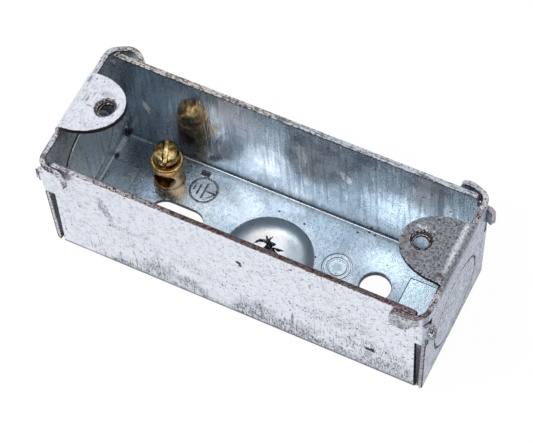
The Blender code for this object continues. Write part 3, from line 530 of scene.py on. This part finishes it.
# The blank mark's two rings, painted dark as their shadow and stronger on the left, and a lighter
# band that takes in the inner one
blank = times(tree, sunk, rise(tree, x, 9, 9.5), fall(tree, x, 16, 16.5))
colour = lay(tree, colour, (0.82, 0.88, 0.92), blank, 0.85)
from_blank = distance_from(tree, place, BLANK_MARK)
lighter_band = times(tree, between(tree, from_blank, 0.9, 2.55, 0.1), on_floor,
                    ramp(tree, mottle, 0.4, 0.55, 0.2, 0.8))
blank_shade = strongest(tree, between(tree, from_blank, 2.78, 3.0, 0.06),
                        between(tree, from_blank, 1.6, 1.78, 0.06))
colour = lay(tree, colour, (0.78, 0.86, 0.90), lighter_band)
colour = lay(tree, colour, (0.16, 0.20, 0.25), blank_shade, on_floor,
             rise(tree, x, 12, 14, 0.85, 0.2))
# Shade about the round hole, in the pit, and at the left end's short bend
from_hole = distance_from(tree, place, BASE_HOLE)
hole_ring = times(tree, fall(tree, from_hole, 3.0, 3.3), on_floor, rise(tree, x, 21, 22, 0.9, 0.3))
colour = lay(tree, colour, (0.07, 0.09, 0.12), hole_ring)
for centre, reach in (((-17.9, 10.45, 2.8), (1.05, 0.8, 3.0)),
                      ((-34.97, 7.0, 3.4), (0.7, 0.8, 0.9))):
    shade = spot_at(tree, place, centre, reach, ragged=0.5)
    colour = lay(tree, colour, (0.02, 0.02, 0.024), shade, 0.93)
# Dished knockout: painted shade round its steep side, and a painted white highlight in its middle
from_middle = distance_from(tree, place, (*DISH_MIDDLE, 1.0))
in_dish = fall(tree, from_middle, 8.55, 8.75)
from_tear = distance_from(tree, place, TEAR_MIDDLE)
dish_light_and_shade = tint(tree, rise(tree, from_tear, 2.6, 5.0), WHITE, (0.48, 0.55, 0.60))
steep = rise(tree, from_middle, 6.2, 8.0)
dish_light_and_shade = tint(tree, steep, dish_light_and_shade, (0.24, 0.32, 0.40))
in_dish = times(tree, in_dish, fall(tree, z, 2.7, 2.9), 0.92)
colour = lay(tree, colour, dish_light_and_shade, in_dish)
# Down the walls: brushing, and painted shade in a dark line under the rim and along the foot
brushed = use(tree, streaks, place, Stretch=(1500, 1500, 90), Above=0.5, Soft=0.14)
off_floor = rise(tree, z, 3.3, 3.9, 0.25, 1.0)
colour = lay(tree, colour, (0.095, 0.12, 0.155), brushed, off_floor, 0.5)
polished = use(tree, streaks, place, Stretch=(1900, 1900, 120), Above=0.60, Soft=0.05)
polished_share = times(tree, polished, off_floor, rise(tree, x, -26, -2, 0.15, 0.42))
colour = lay(tree, colour, (0.78, 0.86, 0.93), polished_share)
under_rim = rise(tree, z, 28.45, 28.75)
past_post = rise(tree, x, -22, -18, 0.15, 1.0)
foot = times(tree, fall(tree, z, 3.5, 6.2), rise(tree, z, 3.3, 3.5), past_post)
colour = lay(tree, colour, (0.045, 0.055, 0.07),
             strongest(tree, times(tree, under_rim, 0.85), times(tree, foot, 0.8)))
# Corner bends: the back one is dulled, the left end has a short painted highlight line
at_left = fall(tree, x, -35.2, -34.9)
along_back = times(tree, without(tree, at_left), past_post,
                   ramp(tree, mottle, 0.4, 0.6, 0.45, 0.95))
past_pad = rise(tree, y, 7.4, 8.0)
line = times(tree, between(tree, z, 3.01, 3.35, 0.02), along_back, 0.9)
short_highlight_line = times(tree, between(tree, z, 3.0, 3.45, 0.04), at_left, past_pad,
                   fall(tree, y, 11.3, 11.8))
colour = lay(tree, colour, (0.34, 0.38, 0.43), line)
colour = lay(tree, colour, (0.92, 0.95, 1), short_highlight_line)
# The ring that the left end's knockout leaves inside: a dark line on the shear that is also the
# lip's painted shadow, and a painted highlight inside it, both stronger on the front half
from_ring = distance_from_ring(tree, place)
front_half = times(tree, fall(tree, x, -35.55, -35.45), rise(tree, y, -1, 1, 1.0, 0.35))
shear_line_and_shadow = between(tree, from_ring, 8.44, 9.3, 0.05)
ring_highlight = between(tree, from_ring, 7.9, 8.42, 0.04)
colour = lay(tree, colour, (0.02, 0.025, 0.035), shear_line_and_shadow, front_half)
colour = lay(tree, colour, (0.95, 0.98, 1), ring_highlight, front_half)
# A white glint on the back wall behind the left lug
glint = spot_at(tree, place, WALL_GLINT, (0.7, 2.0, 1.9), 17.19, 1.4)
colour = lay(tree, colour, WHITE, glint)
# Black specks on the back wall and on the base
wall_specks = ((-9.5, 21.0), (-15.4, 12.6), (9.7, 13.6), (16.0, 25.2), (26.8, 24.2),
               (30.4, 20.9), (25.3, 22.2))
base_specks = ((3.4, 8.3), (13.0, 10.8), (-1.9, 8.8), (8.2, 2.9), (14.9, 11.7), (16.1, 11.5))
colour = lay_patches(tree, place, colour, on_back_wall(
    [(*speck, 0.3, 0.25, 0, BLACK_SPECK, 1.0) for speck in wall_specks], 1.5) + on_base(
    [(*speck, 0.28, 0.22, 0, BLACK_SPECK, 1.0) for speck in base_specks], 0.6))
# Small dark pits, but none on the pads
speckle = use(tree, pits, place, Density=520.0, Size=0.15, Cover=0.12)
small = use(tree, pits, place, Density=1300.0, Size=0.3, Cover=0.10)
speckle = times(tree, strongest(tree, speckle, times(tree, small, 0.6)), without(tree, pad))
colour = lay(tree, colour, (0.03, 0.033, 0.04), speckle, 0.9)
# The back wall is nearly a mirror beside the post, the dish is duller
mirror = spot_at(tree, place, (-19.5, BACK_WALL, 18.0), (7, 3, 11), ragged=0.2)
rough = times(tree, ramp(tree, mottle, 0.3, 0.7, 0.19, 0.31), ramp(tree, mirror, 0, 1, 1.0, 0.3))
rough = maths(tree, "ADD", rough, times(tree, in_dish, 0.12))
finish_material(tree, shader, colour, rough,
                maths(tree, "SUBTRACT", mottle, maths(tree, "ADD", speckle, brushed)), 0.01 * MM)
# Where the zinc is scratched open or dusty it scatters light instead of mirroring it, and so
# does it where a highlight or the post's glow is painted, so that the painted light shows
centre, reach = on_base([POST_GLOW])[0]
by_post = spot_at(tree, place, centre, reach, ragged=0.7)
dusty_and_painted_light = rise(tree, x, -35.4, -35.0, 0.55, 0.1)
dusty_and_painted_light = strongest(tree, dusty_and_painted_light, times(tree, strongest(tree, short_highlight_line, glint), 0.9),
                  times(tree, by_post, 0.7), times(tree, in_dish, steep, 0.85))
tree.links.new(without(tree, dusty_and_painted_light), shader.inputs["Metallic"])

bare, tree, shader, place = new_material("sheared_edge", 0.8)
x, y, z = axes_of(tree, place)
far_x = maths(tree, "ABSOLUTE", x)
far_y = maths(tree, "ABSOLUTE", y)
grit = use(tree, cloud, place, Size=1900.0, Fine=1.6)
high = rise(tree, z, 26.6, 27.2)
# Rims: pale and specked, with drawn lines along each wall. The back one is beige on the
# left and a cold grey on the right.
on_ends = rise(tree, far_x, 34.8, 35.6)
drawn_x = use(tree, streaks, place, Stretch=(260, 3800, 3800), Above=0.52, Soft=0.08)
drawn_y = use(tree, streaks, place, Stretch=(3800, 260, 3800), Above=0.55, Soft=0.08)
drawn = maths(tree, "ADD", times(tree, drawn_y, on_ends),
              times(tree, drawn_x, without(tree, on_ends)))
pale = tint(tree, ramp(tree, grit, 0.30, 0.5), (0.22, 0.215, 0.235), (0.62, 0.61, 0.67))
beige = tint(tree, ramp(tree, grit, 0.34, 0.56), (0.18, 0.17, 0.165), (0.60, 0.58, 0.54))
cold = tint(tree, ramp(tree, grit, 0.30, 0.50), (0.26, 0.28, 0.32), (0.56, 0.60, 0.68))
beige = tint(tree, rise(tree, x, -8, 6), beige, cold)
pale = tint(tree, times(tree, rise(tree, y, 9, 11), without(tree, on_ends)), pale, beige)
pale = tint(tree, times(tree, drawn, 0.7), pale, (0.07, 0.065, 0.07))
# Edges lower down: dark in the holes, pale at the open corners
deep = tint(tree, ramp(tree, grit, 0.4, 0.7), (0.014, 0.015, 0.02), (0.07, 0.07, 0.085))
slit = times(tree, rise(tree, far_x, 35.0, 35.2), rise(tree, far_y, 11.2, 11.6))
slit_colour = tint(tree, ramp(tree, grit, 0.30, 0.48), (0.20, 0.19, 0.21), (0.66, 0.65, 0.72))
slit_colour = tint(tree, times(tree, rise(tree, x, 0, 10), 0.4), slit_colour, (0.14, 0.12, 0.13))
# The end walls' own edges in the open corners are pale between two dark lines
through_wall = maths(tree, "SUBTRACT", far_x, times(tree, z, math.tan(END_LEAN)))
slit_lines = strongest(tree, between(tree, through_wall, 35.74, 36.30, 0.06),
                       rise(tree, z, 21.0, 22.0))
slit_colour = tint(tree, slit_lines, (0.035, 0.035, 0.045), slit_colour)
deep = tint(tree, slit, deep, slit_colour)
colour = tint(tree, high, deep, pale)
# Rust on the front rim, from the left third onwards, and spots of it at the right end
front = times(tree, rise(tree, y, -10.5, -11.5), high)
along = times(tree, rise(tree, x, -22, -8), rise(tree, x, 26, 36, 1.0, 0.75))
stained = tint(tree, ramp(tree, grit, 0.34, 0.6), (0.06, 0.047, 0.048), (0.40, 0.34, 0.355))
colour = lay(tree, colour, stained, front, along, 0.85)
centred = between(tree, y, -12.8, -12.2, 0.12)
starting = rise(tree, x, -34, -20, 0.0, 0.45)
rusty = times(tree, front, strongest(tree, along, starting), ramp(tree, centred, 0, 1, 0.62, 1.0))
spots = use(tree, cloud, place, Size=420.0, Fine=0.9)
right = times(tree, rise(tree, x, 33, 36), high, ramp(tree, spots, 0.60, 0.64))
rusty = strongest(tree, rusty, right)
rusted = times(tree, ramp(tree, maths(tree, "ADD", grit, times(tree, rusty, 0.16)), 0.625, 0.66),
               ramp(tree, rusty, 0.1, 0.3))
flakes = use(tree, cloud, place, Size=2600.0, Fine=1.2)
rust = tint(tree, ramp(tree, flakes, 0.50, 0.62), RUST, RUST_LIGHT)
colour = lay(tree, colour, rust, rusted)
# The left ear's edge, and the dark inner line along the front rim
left_ear = times(tree, rise(tree, x, -33, -34), rise(tree, y, -13.2, -13.5), high)
colour = lay(tree, colour, OIL_BROWN, left_ear, ramp(tree, grit, 0.48, 0.58, 0.95, 0.55))
inner_line = times(tree, front, rise(tree, y, -12.32, -12.12))
colour = lay(tree, colour, (0.05, 0.04, 0.042), inner_line, 0.7)
# Lugs: brown all round
on_lugs = times(tree, fall(tree, far_y, 6.6, 7.0), fall(tree, far_x, 36.3, 36.6), high)
colour = lay(tree, colour, OIL_BROWN, on_lugs)
finish_material(tree, shader, colour, ramp(tree, rusted, 0, 1, 0.42, 0.8), grit, 0.1 * MM)

arris, tree, shader, place = new_material("worn_arris", 0.9)
x, y, z = axes_of(tree, place)
far_x = maths(tree, "ABSOLUTE", x)
far_y = maths(tree, "ABSOLUTE", y)
grit = use(tree, cloud, place, Size=600.0, Fine=1.4)
colour = tint(tree, ramp(tree, grit, 0.42, 0.62), (0.07, 0.068, 0.08), (0.45, 0.46, 0.52))
on_floor = times(tree, fall(tree, z, 3.1, 3.3), rise(tree, z, 2.4, 2.6), rise(tree, x, -12, -10))
colour = lay(tree, colour, (0.40, 0.46, 0.52), on_floor)
# Painted shade on the arris round the base's round hole
from_hole = distance_from(tree, place, (BASE_HOLE[0], BASE_HOLE[1], 2.5))
colour = lay(tree, colour, (0.03, 0.035, 0.05), fall(tree, from_hole, 3.2, 3.4))
corners = times(tree, rise(tree, far_x, 31, 33), rise(tree, far_y, 12.0, 12.3))
colour = lay(tree, colour, (0.045, 0.035, 0.038), corners, ramp(tree, grit, 0.45, 0.65, 0.95, 0.4))
finish_material(tree, shader, colour, ramp(tree, grit, 0.3, 0.7, 0.5, 0.35), grit, 0.03 * MM)

# In the order of the sides' numbers, and the arris last
for material in (outside, inside, bare, arris):
    box.data.materials.append(material)

# Tapped holes in the lugs
# Each lug's hole is pressed out below into a short collar and tapped for the screw of the
# switch plate. The thread's ridges start in the countersunk mouth.
BORE_RADIUS = 1.55 * MM
MOUTH_RADIUS = 2.05 * MM
PITCH = 0.6 * MM
RIDGE = 0.24 * MM
TURNS = 2.4
STEPS_A_TURN = 40
FIRST_RIDGE = 0.16 * MM


def lug_thread(name):
    """The ridge of a lug's thread, as a closed coil that winds down inside the hole.

    The path is a helix, depth = pitch times the turns made, on the countersunk mouth and
    then on the bore. The profile is a triangle with its base just inside the wall. It
    shrinks to nothing over the first and last quarter turn.
    """
    angle = np.linspace(0, 2 * math.pi * TURNS, int(TURNS * STEPS_A_TURN) + 1)
    fade = np.clip(np.minimum(angle, angle[-1] - angle) / (math.pi / 2), 0.02, 1)
    profile = np.array([(-0.12, -0.42), (1.0, 0.0), (-0.12, 0.42)])
    height = -PITCH * angle / (2 * math.pi)
    wall = np.maximum(BORE_RADIUS, MOUTH_RADIUS + height + 0.05 * MM)
    r = wall[:, None] - RIDGE * profile[None, :, 0] * fade[:, None]
    z = height[:, None] + PITCH * profile[None, :, 1] * fade[:, None]
    grid = np.stack([r * np.cos(angle)[:, None], r * np.sin(angle)[:, None], z], -1)
    return tube_piece(name, grid)


def tube_piece(name, grid):
    """A closed tube from rings of points, (ring, point, xyz), with a face over each end."""
    rings, points, _ = grid.shape
    i = np.arange(rings - 1)[:, None] * points
    j = np.arange(points)[None, :]
    k = (j + 1) % points
    quads = np.stack([i + j, i + k, i + points + k, i + points + j], -1).reshape(-1, 4)
    ends = [tuple(range(points))[::-1], tuple((rings - 1) * points + n for n in range(points))]
    mesh = bpy.data.meshes.new(name)
    mesh.from_pydata(grid.reshape(-1, 3), [], [tuple(q) for q in quads.tolist()] + ends)
    work = bmesh.new()
    work.from_mesh(mesh)
    bmesh.ops.recalc_face_normals(work, faces=work.faces)
    work.to_mesh(mesh)
    work.free()
    mesh.shade_smooth()
    piece = bpy.data.objects.new(name, mesh)
    bpy.context.scene.collection.objects.link(piece)
    return piece


def gritty_metal(name, metallic, size, fine, steps, dark, light, roughness, depth):
    """Bare metal, dark in the hollows of its grit and light on the grit's tops."""
    material, tree, shader, place = new_material(name, metallic)
    grit = use(tree, cloud, place, Size=size, Fine=fine)
    colour = tint(tree, ramp(tree, grit, *steps), dark, light)
    finish_material(tree, shader, colour, ramp(tree, grit, 0.3, 0.7, *roughness), grit, depth)
    return material


cut_steel = gritty_metal("cut_thread", 1.0, 1500.0, 1.2, (0.40, 0.60), (0.03, 0.02, 0.018),
                         (0.48, 0.45, 0.46), (0.45, 0.28), 0.03 * MM)
for side, lean in (("right", 0), ("left", -11)):
    ridges = lug_thread(f"lug_thread_{side}")
    turn = Matrix.Rotation(math.radians(lean), 4, "Y")
    ridges.data.transform(Matrix.Translation(Vector(LUG_HOLES[side]) * MM) @ turn
                          @ Matrix.Translation((0, 0, -FIRST_RIDGE)))
    ridges.data.materials.append(cut_steel)
    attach(ridges, "box")

# Tear in the dished knockout
# Someone has hit the middle of the knockout with a punch: the sheet has burst along a few
# short ragged arms, which are black along their lips.
DISH_FLOOR = 1.0 * MM


def lip(name, route, width, height, level=DISH_FLOOR):
    """A ragged raised lip along a route on a level, widest in its middle.

    The route's corners are joined by straight runs. The section is a low triangle, and its
    height and width follow the sine of the way along, roughened by a second, faster sine.
    """
    corners = np.array(route, float) * MM
    lengths = np.append(0, np.cumsum(np.linalg.norm(np.diff(corners, axis=0), axis=1)))
    along = np.linspace(0, 1, 25)
    x = np.interp(along * lengths[-1], lengths, corners[:, 0])
    y = np.interp(along * lengths[-1], lengths, corners[:, 1])
    way = np.stack([np.gradient(x), np.gradient(y)], -1)
    way /= np.linalg.norm(way, axis=1)[:, None]
    swell = np.clip(np.sin(math.pi * np.clip(along, 0.03, 0.97)) ** 0.6, 0.05, 1)
    rough = 1 + 0.45 * np.sin(31 * along + 40 * corners[0, 0] / MM)
    half_width = width * swell / 2
    section = np.array([(-1, -0.15), (0, 1), (1, -0.15)])
    offset = half_width[:, None] * section[None, :, 0]
    grid = np.stack([x[:, None] - way[:, 1:] * offset, y[:, None] + way[:, :1] * offset,
                     level + height * (swell * rough)[:, None] * section[None, :, 1]], -1)
    return tube_piece(name, grid)


torn_steel = gritty_metal("torn_steel", 0.6, 1800.0, 1.5, (0.5, 0.75), (0.012, 0.012, 0.014),
                          (0.20, 0.20, 0.22), (0.7, 0.4), 0.05 * MM)
# Each arm's route in x and y, its width and its height, in millimetres
TEAR_ARMS = (
    ([(-1.2, 2.0), (-1.7, 3.3), (-2.7, 4.4)], 0.9, 0.35),
    ([(-1.5, 2.8), (-1.5, 3.8), (-1.0, 4.7)], 0.6, 0.3),
    ([(-1.2, 2.7), (-2.4, 3.0), (-3.2, 2.7), (-3.9, 1.7)], 0.9, 0.4),
    ([(-1.5, 2.8), (-0.8, 2.0), (0.2, 1.3), (1.6, 1.2)], 1.6, 0.4),
    ([(-1.5, 2.6), (-1.3, 1.8), (-1.9, 0.8)], 1.1, 0.3),
    ([(-2.1, 3.2), (-1.0, 2.8), (0.0, 3.2)], 1.4, 0.35),
    ([(-4.9, 2.2), (-4.5, 3.2), (-4.2, 4.1)], 0.35, 0.1),
    ([(0.2, 1.2), (1.0, 0.3), (0.9, -1.2)], 1.0, 0.3),
    ([(-0.2, 2.4), (0.9, 2.3), (1.9, 2.6)], 0.7, 0.25),
)
for number, (route, width, height) in enumerate(TEAR_ARMS):
    arm = lip(f"tear_lip_{number}", route, width * MM, height * MM)
    arm.data.materials.append(torn_steel)
    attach(arm, "box")

# Burrs
# Rough crumbs of zinc and steel that the press left: on the tip of the back wall, on the
# end of the nib at the front and along the left end's short bend. A dark lump fills the
# corner behind it.


def crumb(name, centre, size, seed):
    """A closed rough lump: a sphere's radius is varied by four waves of seeded phase."""
    rng = np.random.default_rng(seed)
    rings, points = 12, 16
    polar = np.linspace(0.05, math.pi - 0.05, rings)[:, None]
    around = np.linspace(0, 2 * math.pi, points, endpoint=False)[None, :]
    radius = np.ones((rings, points))
    for wave in range(4):
        phase = rng.uniform(0, 2 * math.pi, 2)
        radius += 0.16 * (np.sin((wave + 2) * around + phase[0])
                          * np.sin((wave + 1) * polar + phase[1]))
    unit = np.stack([radius * np.sin(polar) * np.cos(around),
                     radius * np.sin(polar) * np.sin(around), radius * np.cos(polar)], -1)
    return tube_piece(name, (np.array(centre) + unit * np.array(size)) * MM)


burr_zinc = gritty_metal("burr_zinc", 0.9, 1800.0, 1.5, (0.42, 0.60), (0.06, 0.055, 0.055),
                         (0.80, 0.81, 0.84), (0.5, 0.3), 0.08 * MM)
bright_burr = gritty_metal("bright_burr", 0.3, 1400.0, 1.5, (0.30, 0.42), (0.2, 0.2, 0.22),
                           WHITE, (0.14, 0.2), 0.05 * MM)
# Each crumb's middle and its reach along x, y and z, in millimetres
BURRS = (
    ((-35.1, 12.75, 28.95), (0.22, 0.2, 0.14)), ((-34.7, 12.85, 29.0), (0.2, 0.18, 0.16)),
    ((-34.2, 12.8, 28.97), (0.24, 0.2, 0.14)), ((-35.3, 12.4, 28.9), (0.16, 0.25, 0.16)),
    ((37.8, -12.9, 25.3), (0.4, 0.4, 0.5)), ((38.1, -12.7, 24.9), (0.3, 0.4, 0.5)),
    ((38.0, -12.9, 24.0), (0.32, 0.4, 0.6)), ((37.7, -13.1, 24.4), (0.35, 0.35, 0.4)),
)
# A bright burr that stands along the short bend at the left end
bend_burr = lip("bend_burr", [(-34.9, 11.5), (-34.85, 10.0), (-34.95, 7.8)],
                0.55 * MM, 0.5 * MM, BASE_TOP + 0.1 * MM)
bend_burr.data.materials.append(bright_burr)
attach(bend_burr, "box")
# A dark lump that fills the open corner of the base at the back left
corner_lump = crumb("dark_corner_lump", (-35.4, 12.0, 3.5), (0.65, 0.6, 0.75), 11)
corner_lump.data.materials.append(torn_steel)
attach(corner_lump, "box")
for number, (centre, size) in enumerate(BURRS):
    lump = crumb(f"burr_{number}", centre, size, number)
    lump.data.materials.append(burr_zinc)
    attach(lump, "box")

# Knockout lips
# Each end wall has a round knockout that is sheared most of the way round. The shearing
# has raised a low lip of the same zinc along its ring, inside the wall.
RING_RADIUS = 8.28 * MM
WALL_FOOT = 3.4 * MM
WALL_AT_FOOT = 35.6 * MM
for side, name in ((-1, "left"), (1, "right")):
    # A circle in the leaning wall, with a low triangle along it, open at the foot
    around = np.linspace(math.radians(-70), math.radians(250), 161)[:, None]
    section = np.array([(-0.17, -0.1), (0.0, 0.16), (0.17, -0.1)]) * MM
    radius = RING_RADIUS + section[None, :, 0]
    height = RING_MIDDLE[2] * MM + radius * np.sin(around)
    wall = WALL_AT_FOOT + (height - WALL_FOOT) * math.tan(END_LEAN)
    grid = np.stack([side * (wall - section[None, :, 1]), radius * np.cos(around), height], -1)
    ring_lip = tube_piece(f"knockout_lip_{name}", grid)
    ring_lip.data.materials.append(inside)
    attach(ring_lip, "box")

# Earth terminal post
# A turned brass post with a cross hole for the wire, riveted to the base through a spigot
# that is peened over underneath.
POST = Vector((-23.9, 7.1, 0)) * MM
MOUTH_REACH = 2.95 * MM
MOUTH_FLOOR = 8.5 * MM


def brass_material(name, deep, bright, metallic=1.0):
    """Turned brass: golden, with fine rings from the lathe, dull patches and a painted highlight
    low on the post's front right.
    """
    material, tree, shader, place = new_material(name, metallic)
    mottle = use(tree, cloud, place, Size=500.0, Fine=0.5)
    rings = use(tree, streaks, place, Stretch=(60, 60, 6000), Above=0.5)
    colour = tint(tree, ramp(tree, mottle, 0.35, 0.6), deep, bright)
    speckle = use(tree, pits, place, Density=900.0, Size=0.2, Cover=0.25)
    colour = lay(tree, colour, (0.12, 0.06, 0.02), speckle, 0.6)
    tarnish = use(tree, cloud, place, Size=900.0, Fine=1.0)
    colour = lay(tree, colour, (0.14, 0.07, 0.02), ramp(tree, tarnish, 0.52, 0.66, 0.0, 0.7))
    # A painted highlight low on the post, where the brass is also made less metallic
    foot_highlight = spot_at(tree, place, (-21.5, 5.2, 4.3), (1.3, 1.5, 2.8), ragged=0.4)
    colour = lay(tree, colour, (1.0, 0.83, 0.55), foot_highlight)
    tree.links.new(times(tree, metallic, ramp(tree, foot_highlight, 0, 1, 1.0, 0.5)),
                   shader.inputs["Metallic"])
    finish_material(tree, shader, colour, ramp(tree, mottle, 0.3, 0.7, 0.16, 0.3),
                    maths(tree, "ADD", rings, speckle), 0.01 * MM)
    return material


post = welded_copy("earth_terminal_pillar", "brass_post")
post.data.materials.append(brass_material("post_brass", (0.40, 0.20, 0.05), (0.88, 0.56, 0.22)))
# The mouth under the screw head takes a lighter, less metallic copy of the brass: painted light
# where the head's shadow falls
post.data.materials.append(
    brass_material("mouth_brass_painted_light", (0.70, 0.38, 0.08), (1.0, 0.66, 0.22), 0.6))
middles = np.array([face.center - POST for face in post.data.polygons])
in_mouth = np.hypot(middles[:, 0], middles[:, 1]) < MOUTH_REACH
in_mouth &= middles[:, 2] > MOUTH_FLOOR
post.data.polygons.foreach_set("material_index", in_mouth.astype(np.int32))
soften(post, 0.08 * MM)
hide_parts("earth_terminal_pillar")
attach(post, "box")

# Clamp screw
# A brass screw in the post's tapped bore, with a domed head that takes a blade or a
# cross driver. It runs up and down in the post.
RECESS_REACH = 1.9 * MM
HEAD_LEVEL = 11 * MM
STEEPEST_RISE = 0.4
screw = welded_copy("earth_terminal_screw", "brass_clamp_screw")
# The second of these, for the cross recess walls, is a darker copy of the brass, as painted shade
for name, deep, bright in (("screw_brass", (0.36, 0.21, 0.06), (0.95, 0.74, 0.34)),
                           ("recess_brass_painted_shade", (0.14, 0.07, 0.02), (0.55, 0.36, 0.12)),
                           ("outline_brass", (0.05, 0.025, 0.008), (0.30, 0.18, 0.05))):
    screw.data.materials.append(brass_material(name, deep, bright))
middles = np.array([face.center - POST for face in screw.data.polygons])
rises = np.array([face.normal.z for face in screw.data.polygons])
in_recess = np.hypot(middles[:, 0], middles[:, 1]) < RECESS_REACH
in_recess &= (np.abs(rises) < STEEPEST_RISE) & (middles[:, 2] > HEAD_LEVEL)
screw.data.polygons.foreach_set("material_index", in_recess.astype(np.int32))
soften(screw, 0.13 * MM, arris=2)
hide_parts("earth_terminal_screw")
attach(screw, "clamp_screw")

# Floor, light and camera
# A plain white floor that keeps a faint shadow, two soft lamps, and the photograph's angle.
# The camera's turn, distance and focal length were solved from the box's straight edges.
FLOOR_SIZE = 1.6
floor_mesh = bpy.data.meshes.new("floor")
half = FLOOR_SIZE / 2
floor_mesh.from_pydata([(-half, -half, 0), (half, -half, 0), (half, half, 0), (-half, half, 0)],
                       [], [(0, 1, 2, 3)])
floor = bpy.data.objects.new("floor", floor_mesh)
bpy.context.scene.collection.objects.link(floor)


def seen_directly(tree):
    """1 for rays from the camera, from a mirror or through glass, 0 for scattered light."""
    rays = add(tree, "ShaderNodeLightPath").outputs
    return strongest(tree, rays["Is Camera Ray"], rays["Is Glossy Ray"],
                     rays["Is Transmission Ray"])


paper, tree, shader, place = new_material("white_paper", 0.0)
shader.inputs["Base Color"].default_value = (0.9, 0.9, 0.9, 1)
shader.inputs["Roughness"].default_value = 0.9
glow = add(tree, "ShaderNodeEmission", {"Color": (1, 1, 1, 1), "Strength": 1.03}).outputs[0]
mixed = add(tree, "ShaderNodeMixShader", {0: times(tree, seen_directly(tree), 0.93),
                                          1: shader.outputs[0], 2: glow}).outputs[0]
tree.links.new(mixed, tree.nodes["Material Output"].inputs["Surface"])
floor.data.materials.append(paper)

world = bpy.data.worlds.new("studio")
bpy.context.scene.world = world
world.use_nodes = True
tree = world.node_tree
backdrop = tree.nodes["Background"]
backdrop.inputs["Color"].default_value = (1, 1, 1, 1)
tree.links.new(ramp(tree, seen_directly(tree), 0.0, 1.0, 0.45, 1.0), backdrop.inputs["Strength"])

TARGET = Vector((0, 0, 12 * MM))
LAMP_DISTANCE = 0.6
LAMP_SIZE = 0.3


def softbox(name, direction, power):
    """A square area lamp that looks at the box from one direction."""
    lamp = bpy.data.lights.new(name, "AREA")
    lamp.size = LAMP_SIZE
    lamp.energy = power
    made = bpy.data.objects.new(name, lamp)
    way = Vector(direction).normalized()
    made.location = TARGET + way * LAMP_DISTANCE
    made.rotation_mode = "QUATERNION"
    made.rotation_quaternion = way.to_track_quat("Z", "Y")
    bpy.context.scene.collection.objects.link(made)


softbox("key", (-0.5, -0.6, 1.1), 1.2)
softbox("fill", (0.9, -0.5, 0.7), 0.3)

AZIMUTH = math.radians(30.53)
ELEVATION = math.radians(59.76)
ROLL = math.radians(-4.96)
DISTANCE = 409.62 * MM
FOCAL_PIXELS = 2302.59
IMAGE_WIDTH = 533
AIM_HEIGHT = 14 * MM
AIM_SHIFT = 0.23 * MM
back = Vector((math.sin(AZIMUTH) * math.cos(ELEVATION), -math.cos(AZIMUTH) * math.cos(ELEVATION),
               math.sin(ELEVATION)))
level = Vector((math.cos(AZIMUTH), math.sin(AZIMUTH), 0))
upward = back.cross(level)
across = level * math.cos(ROLL) + upward * math.sin(ROLL)
upright_axis = upward * math.cos(ROLL) - level * math.sin(ROLL)
aim = Vector((0, 0, AIM_HEIGHT)) + (across + upright_axis) * AIM_SHIFT
turn = Matrix((across, upright_axis, back)).transposed().to_4x4()
camera = bpy.data.objects.new("camera", bpy.data.cameras.new("camera"))
camera.data.sensor_width = 36
camera.data.lens = FOCAL_PIXELS * camera.data.sensor_width / IMAGE_WIDTH
camera.data.clip_start = 0.01
camera.matrix_world = Matrix.Translation(aim + back * DISTANCE) @ turn
bpy.context.scene.collection.objects.link(camera)
bpy.context.scene.camera = camera
bpy.context.scene.view_settings.view_transform = "Standard"
